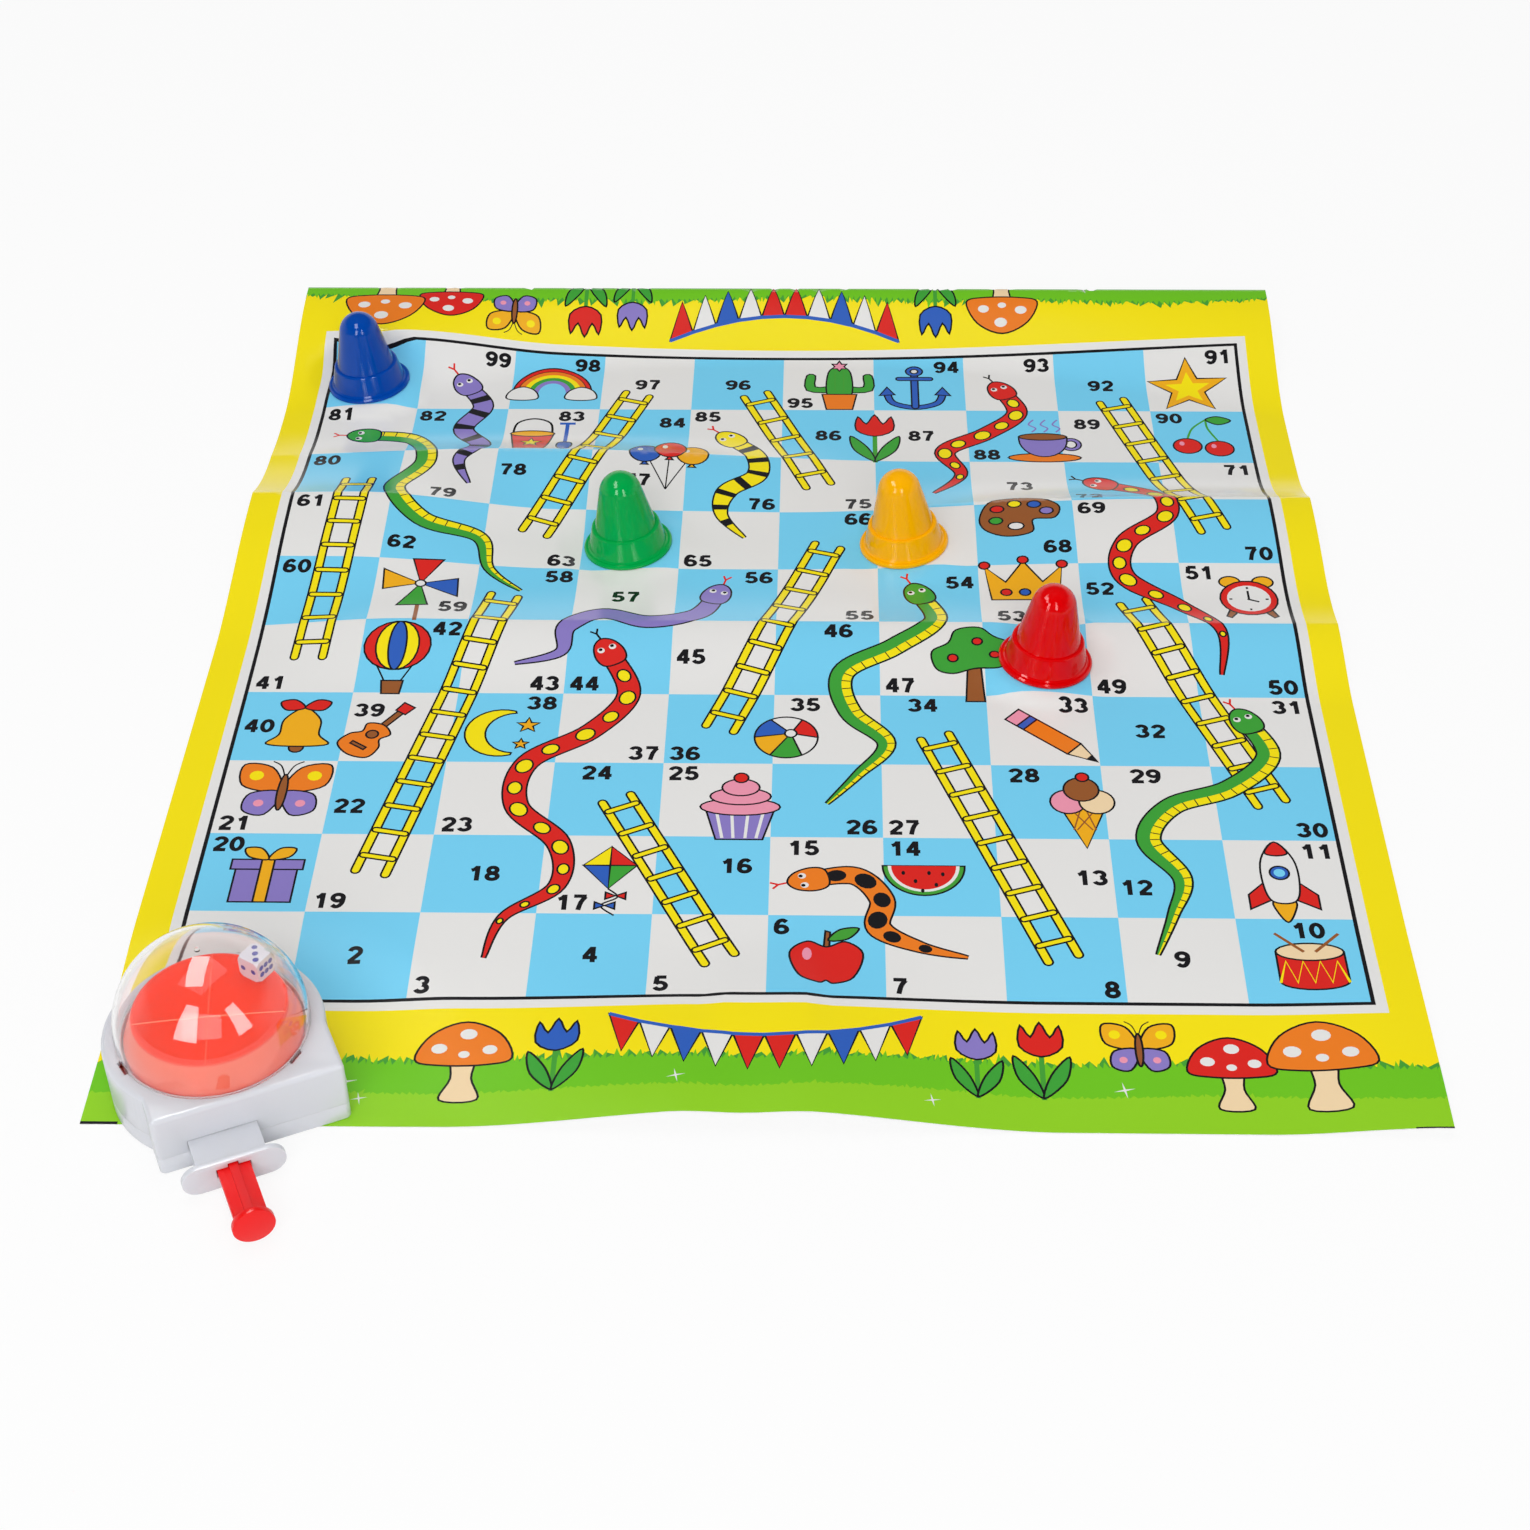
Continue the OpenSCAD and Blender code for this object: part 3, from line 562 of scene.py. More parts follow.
def teacup():
    bowl = [(-30, 12)] + disc(-2, 6, 28, 36, 180, 360, 14) + [(26, 12)]
    steam = [line("violet", smooth([(x, 22), (x + 5, 30), (x - 3, 38), (x + 3, 48)], 4, False), 2.2)
             for x in (-14, 0, 14)]
    return [("orange", disc(-2, -32, 42, 9)), ("violet", disc(30, -4, 12, 13)),
            ("white", disc(30, -4, 6.5, 7.5, sides=14)), ("violet", bowl),
            ("brown", disc(-2, 12, 28, 7))] + steam


def pinwheel():
    blades = []
    for i, ink in enumerate(("red", "gold", "green", "navy")):
        [(ink, blade)] = turned([(ink, [(0, 0), (2, 36), (30, 28)])], 90 * i + 20)
        blades.append((ink, [(x, y + 14) for x, y in blade]))
    return [line("brown", [(0, 14), (2, -50)], 4)] + blades + [("white", disc(0, 14, 5, sides=12))]


def beachBall():
    inks = ("red", "white", "navy", "gold", "green", "white")
    slices = [(ink, [(6, 8)] + disc(0, 0, 42, 42, 60 * i, 60 * i + 60, 8)) for i, ink in enumerate(inks)]
    return slices + [("white", disc(6, 8, 8, sides=14))]


def melon():
    layers = [(ink, disc(0, 18, wide, wide + 2, 180, 360), ink == "leaf")
              for ink, wide in (("leaf", 48), ("white", 42), ("red", 38))]
    return layers + [("black", disc(x, y, 2.2, 3.6, sides=10), False) for x, y in (
        (-24, 6), (-10, -8), (6, 6), (22, 4), (14, -14), (-2, -24))]


def guitar():
    body = smooth(symmetric([(0, 12), (17, 4), (13, -10), (22, -22), (22, -42), (0, -50)]))
    return turned([
        ("brown", rectangle(-4, 5, 4, 44)), ("red", symmetric([(8, 56), (7, 40)])), ("orange", body),
        ("brown", disc(0, -8, 7, sides=14)), ("brown", rectangle(-10, -34, 10, -29))], -35)


def airBalloon():
    ropes = twins(line("black", [(18, -12), (8, -34)], 1.8))
    stripes = [(ink, disc(0, 16, wide, 34)) for ink, wide in (("red", 34), ("yellow", 22), ("navy", 9))]
    return ropes + stripes + [("brown", symmetric([(11, -33), (9, -52)]))]


def clock():
    feet = twins(("brown", [(16, -28), (28, -46), (34, -42), (26, -20)]))
    bells = twins(("gold", disc(22, 36, 14, 11)))
    ticks = [line("black", [(22 * x, 22 * y), (26 * x, 26 * y)], 3)
             for x, y in ((1, 0), (0, 1), (-1, 0), (0, -1))]
    hands = [line("black", [(0, -2), (0, 18)], 3), line("black", [(-2, 0), (13, -6)], 3)]
    return feet + bells + [("red", disc(0, 0, 38)), ("white", disc(0, 0, 29), False)] + ticks + hands


def cherries():
    places = ((-20, -22), (22, -28))
    stems = [line("leaf", smooth([(x, -10), (x * 0.5, 20), (10, 42)], 5, False), 3) for x, y in places]
    fruit = [("red", disc(x, y, 19, 18)) for x, y in places]
    shine = [("pink", disc(x - 7, y + 6, 3.5, 5, sides=10), False) for x, y in places]
    return stems + fruit + shine + [("green", smooth([(10, 42), (26, 50), (44, 40), (26, 30)]))]


def anchor():
    arms = smooth([(-36, -14), (-28, -36), (0, -46), (28, -36), (36, -14)], 5, False)
    shapes = [ribbon(arms, [9] * len(arms)), capsule((0, -44), (0, 30), 9), capsule((-20, 22), (20, 22), 8),
              disc(0, 40, 11)]
    return ([("navy", shape) for shape in shapes] + [("white", disc(0, 40, 5, sides=12))]
            + twins(("navy", [(36, 2), (46, -18), (26, -16)])))


def bunting():  # a row of little flags on a hanging cord
    cord = [(-115 + 23 * i, 30 - 26 * (1 - ((i - 5) / 5) ** 2)) for i in range(11)]
    inks = ("red", "white", "navy", "white", "red") * 2
    flags = [(ink, [a, b, ((a[0] + b[0]) / 2, (a[1] + b[1]) / 2 - 36)])
             for ink, a, b in zip(inks, cord, cord[1:])]
    return flags + [line("navy", cord, 3.5)]


def stamp(picture, u, v, size, turn=0):
    spin = Matrix.Rotation(math.radians(turn), 2) * (size / 100)
    pen = mat["pen"] / cell
    for ink, points, *outlined in picture:
        points = [tuple(spin @ Vector(p) + Vector((u, v))) for p in points]
        if outlined in ([], [True]):
            paint("black", grow(points, pen / 2))
            paint(ink, grow(points, -pen / 2))
        else:
            paint(ink, points)


# Ladders and snakes

ladders = [  # foot and top, in squares
    ((4.6, 0.45), (3.6, 2.5)), ((7.5, 0.5), (6.5, 3.4)), ((1.5, 1.5), (2.3, 5.5)),
    ((9.5, 2.5), (8.5, 5.4)), ((4.5, 3.5), (5.5, 6.4)), ((0.5, 4.5), (0.6, 7.4)),
    ((2.5, 6.6), (3.4, 9.3)), ((9.4, 6.5), (8.6, 9.2)), ((5.4, 7.5), (4.7, 9.3)),
]
ladderSizes = {"wide": 11.0, "rail": 3.2, "rung": 2.4, "step": 13.0}  # mm
snakes = [  # skin, marks, middle line from head to tail in squares
    ("red", "spots", [(8.35, 7.55), (8.85, 7.25), (8.95, 6.75), (8.5, 6.3), (8.45, 5.8), (8.95, 5.35),
                      (9.3, 4.9), (9.25, 4.3)]),
    ("red", "spots", [(3.4, 4.55), (3.62, 4.0), (3.3, 3.45), (2.75, 3.0), (2.7, 2.4), (3.12, 1.9),
                      (3.15, 1.35), (2.72, 0.95), (2.6, 0.45)]),
    ("red", "spots", [(7.4, 9.4), (7.55, 8.95), (7.2, 8.55), (6.75, 8.2), (6.9, 7.75), (6.6, 7.35)]),
    ("green", "belly", [(0.5, 8.45), (1.05, 8.35), (1.25, 7.8), (1.0, 7.2), (1.35, 6.65), (1.95, 6.45),
                        (2.1, 5.95), (2.45, 5.6)]),
    ("green", "belly", [(6.4, 5.55), (6.55, 5.05), (6.15, 4.65), (5.65, 4.3), (5.72, 3.75), (6.05, 3.3),
                        (5.78, 2.85), (5.5, 2.45)]),
    ("green", "belly", [(9.4, 3.65), (9.55, 3.15), (9.15, 2.7), (8.6, 2.45), (8.35, 2.0), (8.6, 1.5),
                        (8.48, 1.05), (8.3, 0.55)]),
    ("violet", "plain", [(4.4, 5.55), (4.22, 5.15), (3.75, 5.0), (3.3, 5.15), (2.97, 4.9), (2.93, 4.55),
                         (2.5, 4.4)]),
    ("violet", "bands", [(1.5, 9.45), (1.72, 9.05), (1.55, 8.6), (1.78, 8.2), (1.6, 7.8), (1.75, 7.35)]),
    ("yellow", "bands", [(4.45, 8.4), (4.72, 8.05), (4.75, 7.65), (4.45, 7.35), (4.4, 6.95), (4.65, 6.55)]),
    ("orange", "blots", [(5.35, 1.45), (5.75, 1.5), (5.98, 1.2), (5.95, 0.85), (6.3, 0.62), (6.7, 0.5)]),
]
snakeSizes = {"wide": 8.0, "head": 12.0, "belly": 0.42}  # mm, and the belly's share of the width


def paintLadder(foot, top):
    pen = mat["pen"]
    foot, top = Vector(foot), Vector(top)
    along = (top - foot).normalized()
    side = Vector((-along.y, along.x)) * (ladderSizes["wide"] / 2 / cell)
    length = (top - foot).length
    count = int(length * cell / ladderSizes["step"])
    bars = []
    for i in range(count):
        place = foot + along * (length * (i + 0.6) / count)
        bars.append((place - side, place + side, ladderSizes["rung"]))
    rails = [(foot + side, top + side, ladderSizes["rail"]), (foot - side, top - side, ladderSizes["rail"])]
    for group in (rails, bars):
        for ink, extra in (("black", pen), ("yellow", -pen)):
            for a, b, width in group:
                paint(ink, capsule(a, b, (width + extra) / cell))


def laidAlong(points, along, size, spot):  # turned to a direction, scaled and moved
    turn = Matrix.Rotation(math.atan2(along.y, along.x), 2) * size
    return [tuple(turn @ Vector(p) + Vector(spot)) for p in points]


def paintSnake(skin, marks, middle):
    pen = mat["pen"] / cell
    wide = snakeSizes["wide"] / cell
    path = smooth(middle, 10, False)
    last = len(path) - 1
    # narrower at the neck, and thin towards the tail
    taper = [min(1, 0.08 + 2.4 * (1 - i / last)) for i in range(last + 1)]
    widths = [wide * (0.82 + 0.18 * min(1, i / 8)) * thin for i, thin in enumerate(taper)]
    paint("black", ribbon(path, [w + pen * 2 for w in widths]))
    paint(skin, ribbon(path, widths))
    if marks == "belly":  # pale scales along one side, with fine seams
        edge = ribbon(path, [w * 1.1 for w in widths])
        shifted = [tuple(Vector(a).lerp(Vector(b), 0.5)) for a, b in zip(path, edge)]
        paint("yellow", ribbon(shifted, [w * snakeSizes["belly"] for w in widths]))
        for i in range(4, last - 3, 2):
            seam = ribbon(shifted[i - 1:i + 2], [widths[i] * snakeSizes["belly"]] * 3)
            paint("black", ribbon([seam[1], seam[-2]], [pen * 0.6] * 2))
    elif marks in ("spots", "blots"):
        layers = [("black", pen / 2), ("yellow", -pen / 2)][:2 if marks == "spots" else 1]
        for i in range(6, last - 6, 5 if marks == "spots" else 7):
            along = Vector(path[i + 1]) - Vector(path[i - 1])
            size = widths[i] * (0.33 + 0.05 * (i % 2))
            for ink, extra in layers:
                spot = disc(0, 0, size * 1.3 + extra, size + extra, sides=14)
                paint(ink, laidAlong(spot, along, 1, path[i]))
    elif marks == "bands":
        for i in range(6, last - 4, 6):
            paint("black", ribbon(path[i:i + 3], widths[i:i + 3]))

    ahead = Vector(path[0]) - Vector(path[2])
    size = snakeSizes["head"] / cell

    def onHead(points):
        return laidAlong(points, ahead, size, path[0])

    fork = [((0.6, 0), (0.95, 0.03)), ((0.93, 0.03), (1.12, 0.17)), ((0.93, 0.03), (1.15, -0.1))]
    for a, b in fork:
        paint("red" if skin != "red" else "black", onHead(ribbon([a, b], [0.07, 0.07])))
    skull = onHead(smooth([(-0.5, 0.3), (-0.1, 0.46), (0.4, 0.32), (0.62, 0), (0.4, -0.32), (-0.1, -0.46),
                           (-0.5, -0.3)]))
    paint("black", grow(skull, pen))
    paint(skin, skull)
    for side in (-1, 1):
        paint("white", onHead(disc(0.18, side * 0.2, 0.12, sides=12)))
        paint("black", onHead(disc(0.22, side * 0.2, 0.065, sides=10)))


# Grass along the front edge: blades leave a ragged top, with a paler strip below

grass = {"top": -0.74, "pale": -1.06, "blade": 0.1, "step": 0.055, "seed": 7}  # squares
sparkles = [  # place and size, in squares
    (1.62, -0.92, 0.1), (1.75, -1.1, 0.07), (1.52, -1.2, 0.09), (4.3, -1.0, 0.08), (7.9, -0.95, 0.09),
    (6.35, -1.15, 0.07),
]


def grassEdge(level, blade, step, rng):
    edge = []
    u = left
    while u < right:
        tip = blade * rng.uniform(0.35, 1.0) * (1.5 if rng.random() < 0.12 else 1.0)
        lean = rng.uniform(-0.4, 0.6) * step
        wave = 0.035 * math.sin(u * 0.9 + 0.6) + 0.02 * math.sin(u * 2.3)
        edge.append((u, level + wave))
        edge.append((min(u + step * 0.5 + lean, right - 0.001), level + wave + tip))
        u += step * rng.uniform(0.8, 1.3)
    edge.append((right, level))
    return edge


def paintBorder(flip):  # front border, or the same turned half round for the back
    def place(points):
        return [(squares - u, squares - v) for u, v in points] if flip else points

    rng = random.Random(grass["seed"] + flip)
    top, blade, step = grass["top"], grass["blade"], grass["step"]
    low = [(right, front), (left, front)]
    paint("leaf", place(grassEdge(top + 0.015, blade * 1.1, step * 2.2, rng) + low))
    paint("grass", place(grassEdge(top, blade, step, rng) + low))
    paint("meadow", place(grassEdge(grass["pale"], blade * 0.35, step, rng) + low))
    for u, v, size in sparkles:
        paint("white", place(starShape(u, v, size, 4, 0.14, 12)))


borderPictures = [  # picture, place along the front border and size, in squares
    (toadstool("orange"), 2.55, -0.7, 0.95), (tulip("navy"), 3.3, -0.66, 0.86),
    (bunting(), 5.0, -0.56, 1.12), (tulip("violet"), 6.72, -0.7, 0.8),
    (tulip("red"), 7.25, -0.64, 0.88), (butterfly("gold"), 8.05, -0.52, 0.68),
    (toadstool("red"), 8.78, -0.76, 0.86), (toadstool("orange"), 9.52, -0.68, 1.06),
]
boardPictures = [
    (drum(), 9.58, 0.44, 0.8), (apple(), 5.5, 0.45, 0.82), (gift(), 0.58, 1.45, 0.8),
    (rocket(), 9.45, 1.48, 1.0), (iceCream(), 7.8, 2.38, 1.0), (cupcake(), 4.72, 2.42, 0.95),
    (butterfly(), 0.55, 2.56, 0.95), (bell(), 0.58, 3.46, 0.85), (pencil(), 7.6, 3.4, 1.0),
    (crown(), 7.45, 5.72, 0.92), (palette(), 7.45, 6.78, 1.0), (tulip("red"), 6.0, 8.45, 1.0),
    (goldStar(), 9.45, 9.42, 0.98), (teacup(), 7.82, 8.38, 0.92), (cactus(), 5.62, 9.47, 0.95),
    (rainbow(), 2.45, 9.5, 0.95), (bucket(), 2.35, 8.4, 0.85), (pinwheel(), 1.45, 5.5, 1.05),
    (balloons(), 3.8, 7.85, 1.0), (kite(), 3.6, 1.42, 0.88), (tree(), 6.9, 4.42, 1.0),
    (moon(), 2.5, 3.42, 0.8), (beachBall(), 5.12, 3.38, 0.7), (melon(), 6.35, 1.5, 0.75),
    (guitar(), 1.3, 3.44, 0.82), (airBalloon(), 1.35, 4.48, 0.95), (clock(), 9.64, 5.46, 0.74),
    (cherries(), 9.5, 8.5, 0.8), (anchor(), 6.45, 9.45, 0.85),
]


# Numbers

numberSizes = {"high": 7.6, "wide": 5.3, "stroke": 1.75, "space": 0.6}  # mm
clearRoom = 0.04  # squares


def digitStrokes():  # centre lines of bold upright digits, in a box 0.7 wide and 1 high
    def loop(x, y, wide, high):  # two halves that overlap a little
        return [disc(x, y, wide, high, start, start + 186, 12) for start in (0, 180)]

    def arc(x, y, wide, high, start, stop):
        return disc(x, y, wide, high, start, stop, 14)

    def bend(*points):
        return smooth(points, 4, False)

    six = loop(0.35, 0.31, 0.24, 0.215) + [
        bend((0.11, 0.31), (0.13, 0.62), (0.25, 0.85), (0.42, 0.905), (0.57, 0.79))]
    return {
        "0": loop(0.35, 0.5, 0.24, 0.405),
        "1": [[(0.42, 0), (0.42, 1)], bend((0.14, 0.7), (0.29, 0.77), (0.4, 0.92))],
        "2": [arc(0.35, 0.69, 0.235, 0.215, 170, -35) + [(0.13, 0.12)], [(0.07, 0.09), (0.64, 0.09)]],
        "3": [arc(0.33, 0.715, 0.215, 0.19, 165, -85), arc(0.33, 0.295, 0.245, 0.2, 85, -165)],
        "4": [[(0.44, 0.94), (0.11, 0.34)], [(0.03, 0.3), (0.68, 0.3)], [(0.48, 0), (0.48, 1)]],
        "5": [[(0.17, 0.91), (0.6, 0.91)], [(0.2, 0.95), (0.145, 0.45)],
              arc(0.34, 0.325, 0.245, 0.235, 145, -160)],
        "6": six,
        "7": [[(0.06, 0.91), (0.64, 0.91)], bend((0.59, 0.87), (0.4, 0.52), (0.29, 0))],
        "8": loop(0.35, 0.715, 0.195, 0.19) + loop(0.35, 0.295, 0.24, 0.2),
        "9": [[(0.7 - x, 1 - y) for x, y in stroke] for stroke in six],
    }


def paintNumbers(art):  # in the middle of a square, or where the art leaves most room
    high, step = numberSizes["high"] / cell, (numberSizes["wide"] + numberSizes["space"]) / cell
    strokes = digitStrokes()
    for square in range(squares * squares):
        row, along = divmod(square, squares)
        column = along if row % 2 == 0 else squares - 1 - along
        text = str(square + 1)
        wide = step * len(text) - numberSizes["space"] / cell
        edge = 0.05 + wide / 2
        tries = [(edge + (1 - 2 * edge) * i / 6, 0.14 + 0.12 * j) for i in range(7) for j in range(7)]
        shapes = [points for points in art if any(
            abs(p[0] - column - 0.5) < 0.6 and abs(p[1] - row - 0.5) < 0.6 for p in points)]

        def room(spot):
            u, v = column + spot[0], row + spot[1]
            if any(covers(points, u, v) for points in shapes):
                return -1
            return min((math.hypot(max(abs(u - p[0]) - wide / 2, 0), max(abs(v - p[1]) - high / 2, 0))
                        for points in shapes for p in points), default=1)

        centre = (0.5, 0.5)
        best = centre if room(centre) > clearRoom else max([centre] + tries, key=room)
        u, v = column + best[0] - wide / 2, row + best[1] - high / 2
        for i, digit in enumerate(text):
            for stroke in strokes[digit]:
                path = [(u + step * i + x * high, v + y * high) for x, y in stroke]
                paint("black", ribbon(path, [numberSizes["stroke"] / cell] * len(path)))


def paintMat():
    paint("yellow", rectangle(left, front, right, back))
    paintBorder(False)
    paintBorder(True)
    for picture, u, v, size in borderPictures:
        stamp(picture, u, v, size)
        stamp(picture, squares - u, squares - v, size, 180)
    for ink, more in (("white", mat["margin"]), ("black", mat["frameLine"]), ("white", 0)):
        paint(ink, rectangle(-more, -more, squares + more, squares + more))
    for row in range(squares):
        for column in range((row + 1) % 2, squares, 2):
            paint("sky", rectangle(column, row, column + 1, row + 1))
    start = len(painted)
    for ends in ladders:
        paintLadder(*ends)
    for picture, u, v, size in boardPictures:
        stamp(picture, u, v, size)
    for snake in snakes:
        paintSnake(*snake)
    paintNumbers([points for ink, points in painted[start:]])
    # black strips along the front edge at the two front corners
    mark, strip = mat["cornerStrips"]
    paint("black", rectangle(left, front, left + mark, front + strip))
    paint("black", rectangle(right - mark, front, right, front + strip / 2))


paintMat()
print("print laid out:", len(painted), "shapes")


# Waves of the film: how it lies, in mm above the table

waves = {  # crest in squares, height in mm, reach before and behind the crest in squares
    "middle": (5, 4.6, 1.1, 0.9),
    "right": (7.05, 8, 2.2, 0.7),
    "left": (8, 6, 1.5, 0.6),
    "hill": (7, 9, 2.4, 1),
    "roll": (10.9, 16, 1, 0.6),
}
seats = {  # column, row, lean to the left in degrees, height of the film's underside in mm
    "blue": (0.42, 9.45, 4, 2.364), "green": (3.47, 6.42, 4.5, 2.060),
    "yellow": (6.27, 6.4, 5.5, 4.005), "red": (7.58, 4.48, -4, 4.688),
}
flatPawn = (18.6, 29.5)  # mm from a pawn's middle, flat to waved
flatPopper = (50, 80)
popperSeat = (-175.0, -235.5)  # from the middle of the mat, mm


def ease(low, high, t):
    s = np.clip((t - low) / (high - low), 0, 1)
    return s * s * (3 - 2 * s)


def swell(d, reach):
    return 1 - ease(0, reach, np.abs(d))


def filmHeight(u, v):  # underside of the film in mm
    def crease(name, widen=0):
        row, high, before, behind = waves[name]
        d = v - row
        return high * np.where(d < 0, ease(-before - widen, 0, d), np.maximum(0, 1 - d / behind) ** 2)

    z = 0.2 + 2 * ease(front, 0.5, v) * (1 - ease(6, 8.6, v))  # the front half floats
    z = z + crease("middle") * ease(-0.4, 1.4, u)
    z = z + crease("left") * swell(u - 2.3, 4.2)
    z = z + crease("right") * ease(4.8, 8.8, u)
    z = z + crease("hill") * (1 - ease(0.6, 2.8, u))
    z = z + crease("roll", 0.9 * (u / 5 - 1) ** 2)
    arch = swell(u - 4.9, 2.5) - 0.2 * swell(u - 4.85, 0.6)
    z = z + 10 * (1 - ease(front, 0.7, v)) * arch  # front edge
    z = z + 4 * (1 - ease(front, 1, v)) * ease(9, 10.4, u)  # front right corner
    z = z + 4 * swell(u - 0.9, 1.6) * swell(v - 10.05, 0.85)  # behind the blue pawn
    z = z + 1.3 * (ease(4.45, 4.7, u) - ease(5.3, 5.55, u)) * swell(v, 0.9)  # a small pucker in front
    x, y = (u - half) * cell, (v - half) * cell
    for column, row, lean, seat in seats.values():
        dx, dy = x - (column - half) * cell, y - (row - half) * cell
        away = ease(*flatPawn, np.hypot(dx, dy))
        z = (seat + dx * math.tan(math.radians(lean))) * (1 - away) + z * away
    return z * ease(*flatPopper, np.hypot(x - popperSeat[0], y - popperSeat[1]))


def filmSlope(u, v, step=0.012):
    span = 2 * step * cell
    slopeX = (filmHeight(u + step, v) - filmHeight(u - step, v)) / span
    slopeY = (filmHeight(u, v + step) - filmHeight(u, v - step)) / span
    normals = np.stack([-slopeX, -slopeY, np.ones_like(u)], 1)
    return normals / np.linalg.norm(normals, axis=1)[:, None]


def filmSag(u, v, step=0.1):  # how far a flat face may leave the curved film, mm
    ways = ((step, 0), (-step, 0), (0, step), (0, -step))
    around = sum(filmHeight(u + a, v + b) for a, b in ways)
    return np.abs(around - 4 * filmHeight(u, v)) * (mat["mesh"] / cell / step) ** 2 / 8


def gridPoints(spacing):
    across = np.linspace(left, right, round(mat["wide"] / spacing) + 1)
    rows = list(np.linspace(front, back, round(mat["long"] / spacing) + 1))
    fine = 0.03  # squares either side of a crease
    for row in (wave[0] for wave in waves.values()):
        rows = [r for r in rows if abs(r - row) > 2 * fine] + [row - fine, row, row + fine]
    return [(float(u), float(v)) for v in sorted(rows) for u in across]


# Printed polythene film: even gloss over flat inks

filmFinish = {"ior": 1.51, "rough": (0.17, 0.21), "cloud": 14.0, "back": "#f1f0ee"}  # clouds of gloss in mm


def filmMaterial(name, colour):
    material, tree, shader = newMaterial(name, {"Base Color": linear(colour), "IOR": filmFinish["ior"]})
    addGloss(tree, shader, filmFinish["rough"], filmFinish["cloud"], 2.0)
    return material


def buildMat():
    spots, faces = [], []
    for ink, points in painted:
        faces.append(list(range(len(spots), len(spots) + len(points))))
        spots += points
    spots += gridPoints(mat["mesh"])
    made = delaunay_2d_cdt([Vector(p) for p in spots], [], faces, 0, 1e-5, True)
    flat = np.array([tuple(p) for p in made[0]])
    top, inks = [], []
    for face, sources in zip(made[2], made[5]):  # each face takes the ink printed last
        u, v = flat[face].mean(0)
        shown = next((k for k in sorted(sources, reverse=True) if covers(painted[k][1], u, v)), None)
        if shown is not None:
            top.append(list(face))
            inks.append(inkNames.index(painted[shown][0]))

    edge = 1e-4
    onEdge = [i for i, (u, v) in enumerate(flat)
              if u < left + edge or u > right - edge or v < front + edge or v > back - edge]

    def bearing(i):
        u, v = flat[i]
        return math.atan2((v - half) / (back - half), (u - half) / (right - half))

    onEdge.sort(key=bearing)
    ring = [tuple(flat[i]) for i in onEdge]
    inner = [p for p in gridPoints(mat["backMesh"])
             if left + 0.1 < p[0] < right - 0.1 and front + 0.1 < p[1] < back - 0.1]
    under = delaunay_2d_cdt([Vector(p) for p in ring + inner], [], [list(range(len(ring)))], 1, 1e-6, True)
    flatUnder = np.array([tuple(p) for p in under[0]])
    fromInput = {source: i for i, sources in enumerate(under[3]) for source in sources}
    count = len(flat)
    below = [[count + i for i in reversed(face)] for face in under[2]]
    walls = []
    for k in range(len(onEdge)):
        after = (k + 1) % len(onEdge)
        walls.append([onEdge[k], count + fromInput[k], count + fromInput[after], onEdge[after]])

    def place(points, lift):
        u, v = points.T
        x, y = (u - half) * cell, (v - half) * cell + mat["middleY"]
        return np.stack([x, y, filmHeight(u, v) + lift], 1) * mm

    mesh = bpy.data.meshes.new("playMat")
    vertices = np.concatenate([place(flat, mat["film"]), place(flatUnder, -filmSag(*flatUnder.T))])
    mesh.from_pydata(vertices.tolist(), [], top + below + walls)
    for name, colour in inkColours.items():
        mesh.materials.append(filmMaterial("film print " + name, colour))
    mesh.materials.append(filmMaterial("film back", filmFinish["back"]))
    slots = inks + [len(inkNames)] * (len(below) + len(walls))
    mesh.polygons.foreach_set("material_index", slots)
    mesh.polygons.foreach_set("use_smooth", [True] * len(slots))
    corner = np.zeros(len(mesh.loops), int)
    mesh.loops.foreach_get("vertex_index", corner)
    normals = np.concatenate([filmSlope(*flat.T), -filmSlope(*flatUnder.T)])[corner]
    normals[-4 * len(walls):] = 0  # the cut edge keeps its own normals
    mesh.normals_split_custom_set(normals.tolist())
    obj = addObject("play_mat_printed", mesh)
    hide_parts("play_mat")
    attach(obj, "mat")
    print("mat:", len(mesh.polygons), "faces")


buildMat()


# Moulded plastics: a gloss that varies along the flow of the melt, and a trace of its ripple

flow = {"long": 9.0, "ripple": 0.3}  # mm


def mouldedPlastic(name, colour, rough, **sockets):
    material, tree, shader = newMaterial(name, {"Base Color": linear(colour), "IOR": 1.5, **sockets})
    melt = addGloss(tree, shader, rough, flow["long"], 3.0)
    bump = addNode(tree, "ShaderNodeBump", {
        "Height": melt.outputs[0], "Strength": 0.02, "Distance": flow["ripple"] * mm})
    tree.links.new(bump.outputs[0], shader.inputs["Normal"])
    return material


def dress(node, material):
    for slot in nodes[node].material_slots:
        slot.material = material


def copyOf(node, body, name, material):  # a piece made from a CAD node's own mesh
    mesh = nodes[node].data.copy()
    piece = addObject(name, mesh)
    piece.matrix_world = nodes[node].matrix_world
    selectOnly(piece)
    if mesh.has_custom_normals:
        bpy.ops.mesh.customdata_custom_splitnormals_clear()
    mesh.materials.clear()
    mesh.materials.append(material)
    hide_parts(node)
    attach(piece, body)
    return piece


softEdges = {"weld": 0.002, "flat": 0.6, "sharp": 38, "smooth": 32}  # mm, then degrees


